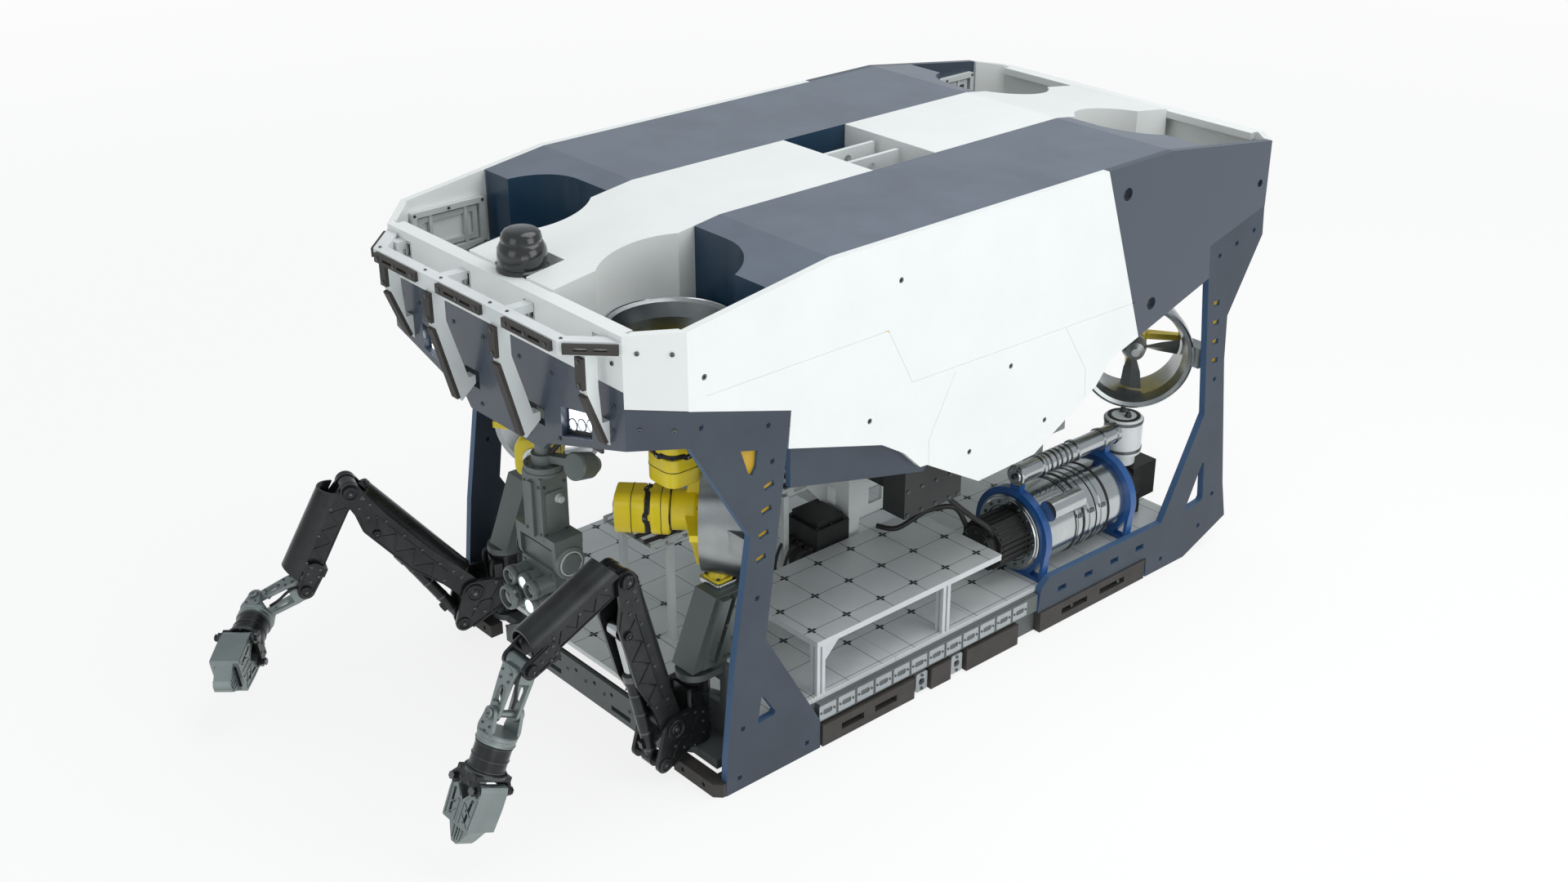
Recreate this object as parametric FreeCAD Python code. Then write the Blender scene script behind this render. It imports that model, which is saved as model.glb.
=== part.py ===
"""Work-class underwater vehicle: buoyant upper body on four legs and a skid, eight ducted
thrusters, a camera turret, a tool bay and two seven-function manipulators.

Frame: millimetres, +Z up, the front faces -Y, port is +X.
The origin is the centre of the skid's underside.
"""
import FreeCAD, Part
import math
import os

V = FreeCAD.Vector

# Upper body
BODY_WIDTH = 1700.0
TOP_HEIGHT = 1927.0
NOSE_HEIGHT = TOP_HEIGHT - 107
TAIL_HEIGHT = TOP_HEIGHT - 110
BODY_FRONT = -1590.0
BODY_REAR = 1759.0
FRONT_KNEE = -815.0
REAR_KNEE = 968.0
FRONT_CHAMFER = 146.0
REAR_CHAMFER = 136.0
PANEL_THICKNESS = 30.0
FOAM_UNDERSIDE = 1560.0
STRIP_INNER = 255.0
PACK_HALF_WIDTH = 254.0
STRIP_FRONT = -1090.0
STRIP_REAR = 1200.0
LIFT_WELL_FRONT = -69.0
LIFT_WELL_REAR = 262.0
CORNER_BOTTOM = 1436.0
SKIRT_BOTTOM = 1250.0

# Corner wells and thrusters
WELL_RADIUS = 250.0
FRONT_WELL = (430.0, -1180.0)
REAR_WELL = (400.0, 1290.0)
NOZZLE_BORE = 200.0
NOZZLE_RADIUS = 240.0
NOZZLE_LENGTH = 220.0
NOZZLE_FLANGE = 272.0
VERTICAL_CENTRE_Z = 1560.0
VECTORED_FRONT = (556.0, -1014.0, 940.0)
VECTORED_REAR = (556.0, 1215.0, 940.0)
POD_RADIUS = 76.0
PROPELLER_TIP_GAP = 6.0
BLADE_COUNT = 4
SHAFT_RADIUS = 18.0
FIT = 0.05
SEAT = 0.3

# Skid and legs
SKID_HALF_WIDTH = BODY_WIDTH / 2 - 30
RUNNER_WIDTH = 76.0
RUNNER_HEIGHT = 100.0
RAIL_TOP = 185.0
SKID_FRONT = -1300.0
SKID_REAR = 1300.0
DECK_THICKNESS = 20.0
CROSS_WIDTH = 80.0
CROSS_STATIONS = (-1090.0, -600.0, 0.0, 620.0, 1250.0)
FRONT_PLATE_HEIGHT = 131.0
HOLE_RADIUS = 11.0

# Bumper
HOOP_FRONT = -1735.0
HOOP_DEPTH = 46.0
HOOP_HEIGHT = 48.0
HOOP_TOP = 1800.0
ARM_STATIONS = (-600.0, -200.0, 200.0, 600.0)
BUMPER_ARM_WIDTH = 42.0
PAD_THICKNESS = 14.0

# Tool bay
BENCH_TOP = 437.0
BENCH_PLATE = 25.0
BENCH_LOW = (316.0, -847.0)
BENCH_HIGH = (816.0, 139.0)
POST_SIZE = 40.0
CANISTER_AXIS = (640.0, 378.0)
CANISTER_RADIUS = 165.0
CANISTER_FRONT = 380.0
CANISTER_REAR = 965.0
SADDLE_RADIUS = 195.0
SADDLE_THICKNESS = 36.0
SLIM_RADIUS = 42.0
SLIM_AXIS_Z = 637.0

# Camera turret
TURRET_Y = -1445.0
TILT_AXIS = (-1440.0, 702.0)

# Manipulators, in the plane of each arm: forward from the shoulder pivot, and up
PORT_ARM_X = 584.0
STARBOARD_ARM_X = 640.0
SHOULDER = (-1388.0, 228.0)
SLEW_OFFSET = 150.0
UPPER_LENGTH = 692.0
FORE_LENGTH = 442.0
WRIST_LENGTH = 182.0
CHEEK_GAP = 96.0
CHEEK_THICKNESS = 13.0
LIFT_FOOT = (54.0, -130.0)
LIFT_HEAD = (489.0, 60.0)
PIN_RADIUS = 20.0
GRIP_RADIUS = 64.0
JAW_PIVOT = (252.0, 59.0)

# Rest angles in degrees: slew, upper arm, forearm and wrist link against level, wrist yaw, wrist turn
PORT_POSE = dict(slew=0.0, upper=75.4, fore=-24.3, wrist=-64.2, yaw=0.0, turn=0.0)
STARBOARD_POSE = dict(slew=-20.0, upper=50.1, fore=-61.8, wrist=-21.0, yaw=62.0, turn=75.0)

BODY_HALF = BODY_WIDTH / 2
PANEL_INNER = BODY_HALF - PANEL_THICKNESS
DECK_TOP = RAIL_TOP + DECK_THICKNESS
X_AXIS = V(1, 0, 0)
Y_AXIS = V(0, 1, 0)
Z_AXIS = V(0, 0, 1)


# Plain building blocks

def box(x0, x1, y0, y1, z0, z1):
    return Part.makeBox(x1 - x0, y1 - y0, z1 - z0, V(x0, y0, z0))


def rod(start, axis, radius, length):
    return Part.makeCylinder(radius, length, V(*start), axis)


def face_of(points):
    return Part.Face(Part.makePolygon(points + [points[0]]))


def slab_x(outline, x0, x1):
    """An outline of (y, z) points, extruded from x0 to x1."""
    return face_of([V(x0, y, z) for y, z in outline]).extrude(V(x1 - x0, 0, 0))


def slab_y(outline, y0, y1):
    return face_of([V(x, y0, z) for x, z in outline]).extrude(V(0, y1 - y0, 0))


def slab_z(outline, z0, z1):
    return face_of([V(x, y, z0) for x, y in outline]).extrude(V(0, 0, z1 - z0))


def revolve_z(outline):
    """A closed outline of (radius, z) points, turned round the Z axis."""
    return face_of([V(r, 0, z) for r, z in outline]).revolve(V(0, 0, 0), Z_AXIS, 360)


def hull_y(circles, y0, y1):
    """A plate in the XZ plane round a chain of (x, z, radius) circles, each joined to the next."""
    pieces = []
    for (x0, z0, r0), (x1, z1, r1) in zip(circles, circles[1:]):
        gap = math.hypot(x1 - x0, z1 - z0)
        heading = math.atan2(z1 - z0, x1 - x0)
        lean = math.acos((r0 - r1) / gap)
        corners = []
        for x, z, r, turn in ((x0, z0, r0, lean), (x1, z1, r1, lean), (x1, z1, r1, -lean), (x0, z0, r0, -lean)):
            corners.append((x + r * math.cos(heading + turn), z + r * math.sin(heading + turn)))
        pieces.append(slab_y(corners, y0, y1))
    for x, z, r in circles:
        pieces.append(rod((x, y0, z), Y_AXIS, r, y1 - y0))
    return fused(pieces)


def fused(pieces):
    shape = pieces[0]
    if len(pieces) > 1:
        shape = shape.multiFuse(pieces[1:])
    return shape.removeSplitter()


def without(shape, tools):
    return shape.cut(Part.makeCompound(tools)).removeSplitter()


def mirrored(shape):
    return shape.mirror(V(0, 0, 0), X_AXIS)


def both_sides(shape):
    return Part.makeCompound([shape, mirrored(shape)])


def placed(shape, origin, turns):
    """A copy turned about the local origin by each (axis, degrees) in order, then moved."""
    copy = shape.copy()
    for axis, degrees in turns:
        copy.rotate(V(0, 0, 0), axis, degrees)
    copy.translate(V(*origin))
    return copy


def solids_of(shapes):
    return Part.makeCompound([solid for shape in shapes for solid in shape.Solids])


# Upper body

def top_height(y):
    """Height of the roof: flat between the knees, sloping to the nose and to the tail."""
    if y < FRONT_KNEE:
        return TOP_HEIGHT - (TOP_HEIGHT - NOSE_HEIGHT) * (FRONT_KNEE - y) / (FRONT_KNEE - BODY_FRONT)
    if y > REAR_KNEE:
        return TOP_HEIGHT - (TOP_HEIGHT - TAIL_HEIGHT) * (y - REAR_KNEE) / (BODY_REAR - REAR_KNEE)
    return TOP_HEIGHT


FRONT_CORNER = BODY_FRONT + FRONT_CHAMFER
REAR_CORNER = BODY_REAR - REAR_CHAMFER
NOSE_HALF = BODY_HALF - FRONT_CHAMFER
TAIL_HALF = BODY_HALF - REAR_CHAMFER
LEG_HEAD = (FRONT_CORNER, 1567.0)
LEG_SHOULDER = (-1007.0, 1436.0)
REAR_HEAD = (1271.0, 1465.0)
REAR_HEAD_TOP = (1621.0, 1557.0)


def side_panel():
    outline = [LEG_HEAD, LEG_SHOULDER, (-1019, 1297), (-576, 1166), (-463, 1096), (-376, 1011),
               (-342, 1009), (-58, 845), (255, 855), (604, 1042), (684, 1132), (1284, 1320),
               REAR_HEAD, REAR_HEAD_TOP, (REAR_CORNER, top_height(REAR_CORNER)),
               (REAR_KNEE, TOP_HEIGHT), (FRONT_KNEE, TOP_HEIGHT), (FRONT_CORNER, top_height(FRONT_CORNER))]
    panel = slab_x(outline, PANEL_INNER, BODY_HALF)
    holes = [(-1377, 1668, HOLE_RADIUS), (-502, 1772, HOLE_RADIUS), (-639, 1279, HOLE_RADIUS),
             (91, 1277, HOLE_RADIUS), (-116, 988, HOLE_RADIUS), (305, 987, HOLE_RADIUS),
             (1571, 1665, 16), (706, 1810, 26), (912, 1310, 26)]
    return without(panel, [rod((PANEL_INNER, y, z), X_AXIS, r, PANEL_THICKNESS) for y, z, r in holes])


def well_cut(centre, straight_to):
    """A corner well: the round duct and the straight edge that runs on from it to the pack."""
    x, y = centre
    low, high = sorted((y, straight_to))
    duct = rod((x, y, FOAM_UNDERSIDE - 1), Z_AXIS, WELL_RADIUS, 500)
    return duct.fuse(box(STRIP_INNER - 2, x, low, high, FOAM_UNDERSIDE - 1, TOP_HEIGHT + 1))


def top_strip():
    stations = (STRIP_FRONT, FRONT_KNEE, REAR_KNEE, STRIP_REAR)
    outline = [(STRIP_FRONT, FOAM_UNDERSIDE), (STRIP_REAR, FOAM_UNDERSIDE)]
    outline += [(y, top_height(y)) for y in reversed(stations)]
    strip = slab_x(outline, STRIP_INNER, PANEL_INNER)
    front = well_cut(FRONT_WELL, FRONT_WELL[1] + WELL_RADIUS)
    rear = well_cut(REAR_WELL, REAR_WELL[1] - WELL_RADIUS)
    return without(strip, [front, rear])


PACK_FRONT = BODY_FRONT + 60
PACK_REAR = BODY_REAR - 62


def centre_packs():
    """Two white blocks between the strips, fore and aft of the lift well."""
    front = slab_x([(PACK_FRONT, FOAM_UNDERSIDE), (LIFT_WELL_FRONT, FOAM_UNDERSIDE), (LIFT_WELL_FRONT, TOP_HEIGHT),
                    (FRONT_KNEE, TOP_HEIGHT), (PACK_FRONT, top_height(PACK_FRONT))], -PACK_HALF_WIDTH, PACK_HALF_WIDTH)
    rear = slab_x([(LIFT_WELL_REAR, FOAM_UNDERSIDE), (PACK_REAR, FOAM_UNDERSIDE), (PACK_REAR, top_height(PACK_REAR)),
                   (REAR_KNEE, TOP_HEIGHT), (LIFT_WELL_REAR, TOP_HEIGHT)], -PACK_HALF_WIDTH, PACK_HALF_WIDTH)
    dome_notch = box(-95, 95, PACK_FRONT - 1, PACK_FRONT + 160, DOME_SEAT, TOP_HEIGHT)
    wells = [rod((side * x, y, FOAM_UNDERSIDE - 1), Z_AXIS, WELL_RADIUS, 500)
             for x, y in (FRONT_WELL, REAR_WELL) for side in (1, -1)]
    return Part.makeCompound([without(front, wells[:2] + [dome_notch]), without(rear, wells[2:])])


WINDOW_WIDTH = 62.0


def nose_panel():
    """White nose with the navy skirt, its four windows, foot slots and lamp recesses."""
    outline = [(NOSE_HALF, 1418), (251, 1282), (225, SKIRT_BOTTOM), (-225, SKIRT_BOTTOM), (-251, 1282),
               (-NOSE_HALF, 1418), (-NOSE_HALF, NOSE_HEIGHT), (NOSE_HALF, NOSE_HEIGHT)]
    panel = slab_y(outline, BODY_FRONT, BODY_FRONT + PANEL_THICKNESS)
    ledge = box(-NOSE_HALF + 20, NOSE_HALF - 20, BODY_FRONT + PANEL_THICKNESS, PACK_FRONT, NOSE_HEIGHT - 30, NOSE_HEIGHT)
    windows = [rod((0, DOME_Y, NOSE_HEIGHT - 31), Z_AXIS, DOME_RADIUS + 2, 32)]
    for x in ARM_STATIONS:
        centre = x * 0.965
        windows.append(box(centre - WINDOW_WIDTH / 2, centre + WINDOW_WIDTH / 2, BODY_FRONT - 1,
                           BODY_FRONT + PANEL_THICKNESS + 1, NOSE_HEIGHT - 98, NOSE_HEIGHT - 32))
    for side in (-1, 1):
        windows.append(box(side * 200 - 46, side * 200 + 46, BODY_FRONT - 1, BODY_FRONT + PANEL_THICKNESS + 1, 1345, 1412))
        windows.append(slab_y([(side * 345, 1345), (side * 520, 1390), (side * 520, 1490), (side * 345, 1455)],
                              BODY_FRONT - 1, BODY_FRONT + PANEL_THICKNESS + 1))
    return without(fused([panel, ledge]), windows)


def front_corner_panel():
    inset = PANEL_THICKNESS * math.sqrt(2)
    plan = slab_z([(BODY_HALF, FRONT_CORNER), (NOSE_HALF, BODY_FRONT), (NOSE_HALF, BODY_FRONT + inset),
                   (BODY_HALF - inset, FRONT_CORNER)], 1400, TOP_HEIGHT)
    side = slab_x([(FRONT_CORNER, CORNER_BOTTOM), (BODY_FRONT, 1418), (BODY_FRONT, NOSE_HEIGHT),
                   (FRONT_CORNER, top_height(FRONT_CORNER))], NOSE_HALF - 1, BODY_HALF + 1)
    return plan.common(side).removeSplitter()


def rear_panels():
    """The rear beam with its latch recess, and the two rear corner panels."""
    inset = PANEL_THICKNESS * math.sqrt(2)
    beam = box(-TAIL_HALF, TAIL_HALF, BODY_REAR - PANEL_THICKNESS, BODY_REAR, 1430, TAIL_HEIGHT)
    ledge = box(-TAIL_HALF + 20, TAIL_HALF - 20, PACK_REAR, BODY_REAR - PANEL_THICKNESS, TAIL_HEIGHT - 30, TAIL_HEIGHT)
    cuts = [box(x - 190, x + 190, BODY_REAR - 12, BODY_REAR + 1, 1510, 1700) for x in (-430, 0, 430)]
    plan = slab_z([(BODY_HALF, REAR_CORNER), (BODY_HALF - inset, REAR_CORNER), (TAIL_HALF, BODY_REAR - inset),
                   (TAIL_HALF, BODY_REAR)], 1400, TOP_HEIGHT)
    side = slab_x([(REAR_CORNER, 1557), (REAR_CORNER, top_height(REAR_CORNER)), (BODY_REAR, TAIL_HEIGHT),
                   (BODY_REAR, 1430)], TAIL_HALF - 1, BODY_HALF + 1)
    corner = plan.common(side).removeSplitter()
    return Part.makeCompound([without(fused([beam, ledge]), cuts), corner, mirrored(corner)])


# Bumper

HOOP_HALF = NOSE_HALF - (BODY_FRONT - HOOP_FRONT)


def arm_front(x):
    """Front of a hanging arm: flush with the hoop, which runs back at 45 degrees past its straight part."""
    return HOOP_FRONT + max(0.0, abs(x) + BUMPER_ARM_WIDTH / 2 - HOOP_HALF)


def bumper_frame():
    """The flat hoop in front of the nose and the four arms that hang from it to the skirt."""
    back = HOOP_FRONT + HOOP_DEPTH
    run = BODY_FRONT - HOOP_FRONT
    outer = [(-NOSE_HALF, BODY_FRONT), (-HOOP_HALF, HOOP_FRONT), (HOOP_HALF, HOOP_FRONT), (NOSE_HALF, BODY_FRONT)]
    inner_end = NOSE_HALF - HOOP_DEPTH * 1.414
    inner_knee = inner_end - (run - HOOP_DEPTH)
    inner = [(inner_end, BODY_FRONT), (inner_knee, back), (-inner_knee, back), (-inner_end, BODY_FRONT)]
    pieces = [slab_z(outer + inner, HOOP_TOP - HOOP_HEIGHT, HOOP_TOP)]
    for x in ARM_STATIONS:
        half = BUMPER_ARM_WIDTH / 2
        inboard = abs(x) < 300
        front = arm_front(x)
        back = front + HOOP_DEPTH
        foot_top = 1392 if inboard else 1500
        foot_low = 1362 if inboard else 1410
        bottom = (BODY_FRONT - 62, 1311) if inboard else (BODY_FRONT, 1410)
        outline = [(front, HOOP_TOP - HOOP_HEIGHT + 4), (front, 1622), bottom, (BODY_FRONT, foot_low),
                   (BODY_FRONT, foot_top), (BODY_FRONT - 28, foot_top), (back, 1628), (back, HOOP_TOP - HOOP_HEIGHT + 4)]
        if not inboard:
            del outline[3]
        pieces.append(slab_x(outline, x - half, x + half))
        pieces.append(box(x - half, x + half, back - 2, BODY_FRONT, HOOP_TOP - HOOP_HEIGHT + 6, HOOP_TOP - 12))
    return fused(pieces)


def slotted_pad(length, height, thickness):
    """A rubber strip lying along X from the origin, its back on y = 0, with two slots."""
    pad = box(0, length, -thickness, 0, 0, height)
    slots = []
    for share in (0.2, 0.56):
        x = share * length
        slots.append(box(x, x + 0.24 * length, -thickness - 1, 1, 0.36 * height, 0.66 * height))
    return without(pad, slots)


def bumper_pads():
    pads = []
    low = HOOP_TOP - HOOP_HEIGHT + 8
    for x in (-400, 0, 400):
        pads.append(placed(slotted_pad(270, 34, PAD_THICKNESS), (x - 135, HOOP_FRONT, low), []))
    corner = slotted_pad(180, 34, PAD_THICKNESS)
    pads.append(placed(corner, (HOOP_HALF + 12, HOOP_FRONT + 12, low), [(Z_AXIS, 45)]))
    pads.append(placed(corner, (-HOOP_HALF - 12 - 127.3, HOOP_FRONT + 12 + 127.3, low), [(Z_AXIS, -45)]))
    for x in ARM_STATIONS:
        inboard = abs(x) < 300
        front = arm_front(x)
        pads.append(box(x - 19, x + 19, front - PAD_THICKNESS, front, 1632, 1742))
        end_y, end_z = (BODY_FRONT - 62, 1311) if inboard else (BODY_FRONT, 1410)
        rise, reach = 1622 - end_z, end_y - front
        length = math.hypot(rise, reach)
        strip = box(-19, 19, -PAD_THICKNESS, 0, -length + 14, -14)
        pads.append(placed(strip, (x, front, 1622), [(X_AXIS, math.degrees(math.atan2(reach, rise)))]))
    return solids_of(pads)


# Legs

def slot_x(y, z, length, height, tilt):
    """A through slot in a side plate, centred at (y, z)."""
    tool = box(-PANEL_THICKNESS, PANEL_THICKNESS, -length / 2, length / 2, -height / 2, height / 2)
    return placed(tool, (PANEL_INNER + PANEL_THICKNESS / 2, y, z), [(X_AXIS, tilt)])


def side_holes(places, radius):
    return [rod((PANEL_INNER - 1, y, z), X_AXIS, radius, PANEL_THICKNESS + 2) for y, z in places]


def side_window(corners):
    return slab_x(corners, PANEL_INNER - 1, BODY_HALF + 1)


FRONT_LEG_TOE = -1314.0


def front_leg():
    outline = [LEG_HEAD, LEG_SHOULDER, (-1124, 583), (-861, 125), (-860, 0), (FRONT_LEG_TOE, 0),
               (-1309, 142), (-1269, 521), (-1192, 1017), (FRONT_CORNER, CORNER_BOTTOM)]
    leg = slab_x(outline, PANEL_INNER, BODY_HALF)
    cuts = [slot_x(-1106 - 12.7 * i, 1187 - 89.5 * i, 44, 22, 14) for i in range(4)]
    cuts += side_holes([(-1396, 1495), (-1110, 1413), (-1093, 1274), (-1164, 767), (-1234, 256), (-926, 52),
                        (-1252, 52)], HOLE_RADIUS)
    cuts.append(side_window([(-1230, 1356), (-1156, 1336), (-1162, 1275), (-1180, 1250), (-1196, 1256)]))
    cuts.append(side_window([(-1146, 356), (-1128, 340), (-1080, 262), (-1088, 250), (-1164, 246)]))
    return without(leg, cuts)


RAIL_SLOT_FIRST = 489.0
RAIL_SLOT_PITCH = 166.7
PAD_NOTCH = 97.0


def leg_sill():
    """The navy fairing plate behind the side panel's lower edge, from the leg to the middle of the panel."""
    outline = [(-985, 1340), (-985, 1124), (-597, 1030), (-330, 967), (-292, 1010), (-292, 1340)]
    return slab_x(outline, PANEL_INNER - 24, PANEL_INNER)


def rear_leg():
    """The rear leg with the lower side rail that runs forward from its foot."""
    outline = [REAR_HEAD, REAR_HEAD_TOP, (1631, 1430), (1444, 1112), (1457, 907), (1550, 289), (1591, 111),
               (1310, 0), (1047, 0), (1040, PAD_NOTCH), (345, PAD_NOTCH), (356, 205), (402, 245), (1127, 236),
               (1358, 681), (1284, 1320)]
    leg = slab_x(outline, PANEL_INNER, BODY_HALF)
    cuts = [slot_x(RAIL_SLOT_FIRST + RAIL_SLOT_PITCH * i, 165, 52, 24, 0) for i in range(4)]
    cuts += [slot_x(1359 + 10.3 * i, 1191 - 89.3 * i, 40, 24, 0) for i in range(4)]
    cuts += side_holes([(1345, 1404), (1455, 1431), (1568, 1462), (1402, 833), (1479, 257), (1400, 125),
                        (1147, 51)], HOLE_RADIUS)
    cuts.append(side_window([(1381, 440), (1394, 436), (1410, 262), (1400, 248), (1285, 236)]))
    return without(leg, cuts)


# Skid

MOUNT_Y = SHOULDER[0] + SLEW_OFFSET
MOUNT_BACK = MOUNT_Y + 108
MOUNT_LOW = 62.0
MOUNT_HIGH = 392.0
SHELF = 26.0
HUB_RADIUS = 52.0
KING_PIN = 24.0
SWING_RADIUS = 150.0


def arm_mount(x):
    """The bracket on the skid that holds one manipulator between two shelves."""
    inner = SKID_HALF_WIDTH - RUNNER_WIDTH
    back = box(x - 78, x + 78, MOUNT_Y + 82, MOUNT_BACK, 0, MOUNT_HIGH)
    pieces = [back, box(460, inner + 10, MOUNT_Y - 40, MOUNT_Y + 84, MOUNT_LOW - 12, MOUNT_LOW + SHELF)]
    for z in (MOUNT_LOW, MOUNT_HIGH - SHELF):
        pieces.append(box(x - 70, x + 70, MOUNT_Y, MOUNT_Y + 84, z, z + SHELF))
        pieces.append(rod((x, MOUNT_Y, z), Z_AXIS, 70, SHELF))
    bore = rod((x, MOUNT_Y, 0), Z_AXIS, KING_PIN + FIT, MOUNT_HIGH + 1)
    window = box(x - 45, x + 45, MOUNT_Y + 81, MOUNT_BACK + 1, 215, 320)
    return without(fused(pieces), [bore, window])


def front_plate():
    """The drilled cross plate at the front of the skid, with the keel rail behind it."""
    left, right = 90 - STARBOARD_ARM_X, PORT_ARM_X - 90
    plate = slab_y([(left, 0), (right, 0), (right, 70), (right - 90, FRONT_PLATE_HEIGHT),
                    (left + 110, FRONT_PLATE_HEIGHT), (left, 70)], SKID_FRONT - 16, SKID_FRONT)
    keel = box(left, right, SKID_FRONT, SKID_FRONT + 70, 0, 60)
    cuts = []
    for side in (-1, 1):
        cuts.append(box(side * 225 - 60, side * 225 + 60, SKID_FRONT - 17, SKID_FRONT + 71, 24, 46))
        cuts += [rod((side * x, SKID_FRONT - 17, 94), Y_AXIS, 9, 18) for x in (60, 170, 330, 370)]
    return without(fused([plate, keel]), cuts)


def skid_frame():
    inner = SKID_HALF_WIDTH - RUNNER_WIDTH
    runner = box(inner, SKID_HALF_WIDTH, SKID_FRONT, SKID_REAR, 0, RAIL_TOP)
    web = box(inner - 1, SKID_HALF_WIDTH - 22, SKID_FRONT - 1, SKID_REAR + 1, 22, RUNNER_HEIGHT - 18)
    toe = box(inner - 1, SKID_HALF_WIDTH + 1, SKID_FRONT - 1, MOUNT_BACK, 58, RAIL_TOP + 1)
    strip = box(SKID_HALF_WIDTH, BODY_HALF - 6, -858, 344, RUNNER_HEIGHT + 8, RAIL_TOP)
    side = fused([without(runner, [web, toe]), strip])
    pieces = [side, mirrored(side), front_plate()]
    for y in CROSS_STATIONS:
        low = 0.0 if y == 0.0 else 50.0
        pieces.append(box(-inner, inner, y - CROSS_WIDTH / 2, y + CROSS_WIDTH / 2, low, RAIL_TOP))
    for x in (-500, 440):
        pieces.append(box(x - 40, x + 40, SKID_FRONT + 60, CROSS_STATIONS[0], 0, RAIL_TOP - 12))
    pieces += [arm_mount(PORT_ARM_X), mirrored(arm_mount(STARBOARD_ARM_X))]
    return fused(pieces)


def skid_pads():
    """Rubber along the lower edges and the two front corner fenders."""
    depth = BODY_HALF - SKID_HALF_WIDTH
    long_pads = []
    for y0, length in ((-852, 482), (356, 672)):
        pad = placed(slotted_pad(length, 92, depth + 6), (SKID_HALF_WIDTH, y0, 3), [(Z_AXIS, 90)])
        long_pads.append(pad)
    block = box(SKID_HALF_WIDTH, BODY_HALF + 4, -276, -166, 3, 96)
    long_pads.append(block)
    long_pads.append(box(SKID_HALF_WIDTH, BODY_HALF + 6, -78, 222, 3, 98))
    toe = SKID_FRONT - 14
    fender = slab_z([(600, toe - 42), (BODY_HALF - 26, toe - 42), (BODY_HALF, toe - 16), (BODY_HALF, toe),
                     (SKID_HALF_WIDTH, toe), (SKID_HALF_WIDTH, SKID_FRONT), (600, SKID_FRONT)], 3, 58)
    bolts = [rod((x, toe - 43, 30), Y_AXIS, 9, 20) for x in (650, 770)]
    long_pads.append(without(fender, bolts))
    return solids_of([both_sides(pad) for pad in long_pads])


# Tool bay

DECK_HALF = SKID_HALF_WIDTH - 2
DECK_PLATES = 6


def deck():
    """Six plates on the cross members, with the grooves of the fixing grid between them."""
    first = SKID_FRONT - 10
    width = (SKID_REAR - first) / DECK_PLATES
    plates = []
    low, high = RAIL_TOP - 1, DECK_TOP + 1
    mounts = [box(PORT_ARM_X - 92, DECK_HALF + 1, first - 1, MOUNT_BACK + 4, low, high),
              mirrored(box(STARBOARD_ARM_X - 92, DECK_HALF + 1, first - 1, MOUNT_BACK + 4, low, high))]
    for x in (PORT_ARM_X, -STARBOARD_ARM_X):
        mounts.append(rod((x, MOUNT_Y, low), Z_AXIS, SWING_RADIUS, high - low))
    for i in range(DECK_PLATES):
        y = first + width * i
        plate = box(-DECK_HALF, DECK_HALF, y, y + width - 1.5, RAIL_TOP, DECK_TOP)
        plates.append(without(plate, mounts) if i == 0 else plate)
    return solids_of(plates)


def extrusion(length):
    """A square profile post with a groove in each side, standing at the origin."""
    half = POST_SIZE / 2
    post = box(-half, half, -half, half, 0, length)
    grooves = []
    for turn in range(4):
        groove = box(half - 9, half + 1, -5, 5, -1, length + 1)
        grooves.append(placed(groove, (0, 0, 0), [(Z_AXIS, 90 * turn)]))
    return without(post, grooves)


def bench():
    x0, y0 = BENCH_LOW
    x1, y1 = BENCH_HIGH
    plate = box(x0, x1, y0, y1, BENCH_TOP - BENCH_PLATE, BENCH_TOP)
    height = BENCH_TOP - BENCH_PLATE - DECK_TOP
    pieces = [plate]
    for x in (x0 + POST_SIZE / 2, x1 - POST_SIZE / 2):
        for y in (y0 + POST_SIZE / 2, y0 + 680):
            pieces.append(placed(extrusion(height), (x, y, DECK_TOP), []))
        web_y = y0 + POST_SIZE - 3
        gusset = slab_x([(web_y, DECK_TOP + height), (web_y + 90, DECK_TOP + height), (web_y, DECK_TOP + height - 90)],
                        x - 8, x + 8)
        pieces.append(gusset)
    return fused(pieces)


def along_y(x, z, y0, y1, radius):
    return rod((x, y0, z), Y_AXIS, radius, y1 - y0)


def canisters():
    """The main steel canister, the slim one above it and the small one on its flank."""
    x, z = CANISTER_AXIS
    main = along_y(x, z, CANISTER_FRONT, CANISTER_REAR, CANISTER_RADIUS)
    bands = []
    for y in (620, 692, 764):
        outer = along_y(x, z, y, y + 12, CANISTER_RADIUS + 4)
        bands.append(outer)
    main = fused([main] + bands)
    slim = fused([along_y(x + 8, SLIM_AXIS_Z, 395, 1000, SLIM_RADIUS),
                  along_y(x + 8, SLIM_AXIS_Z, 520, 532, SLIM_RADIUS + 6),
                  along_y(x + 8, SLIM_AXIS_Z, 730, 742, SLIM_RADIUS + 6),
                  along_y(x + 8, SLIM_AXIS_Z, 900, 912, SLIM_RADIUS + 6)])
    flank = math.radians(42)
    reach = CANISTER_RADIUS + 50
    small_x, small_z = x + reach * math.cos(flank), z + reach * math.sin(flank)
    small = along_y(small_x, small_z, 425, 612, 44)
    seat = placed(box(CANISTER_RADIUS - 6, reach, -30, 30, 470, 560), (x, 0, z), [])
    seat = placed(box(CANISTER_RADIUS - 6, reach, 470, 560, -24, 24), (0, 0, 0), [(Y_AXIS, -42)])
    seat.translate(V(x, 0, z))
    return Part.makeCompound([fused([main, seat, small]), slim])


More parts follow.
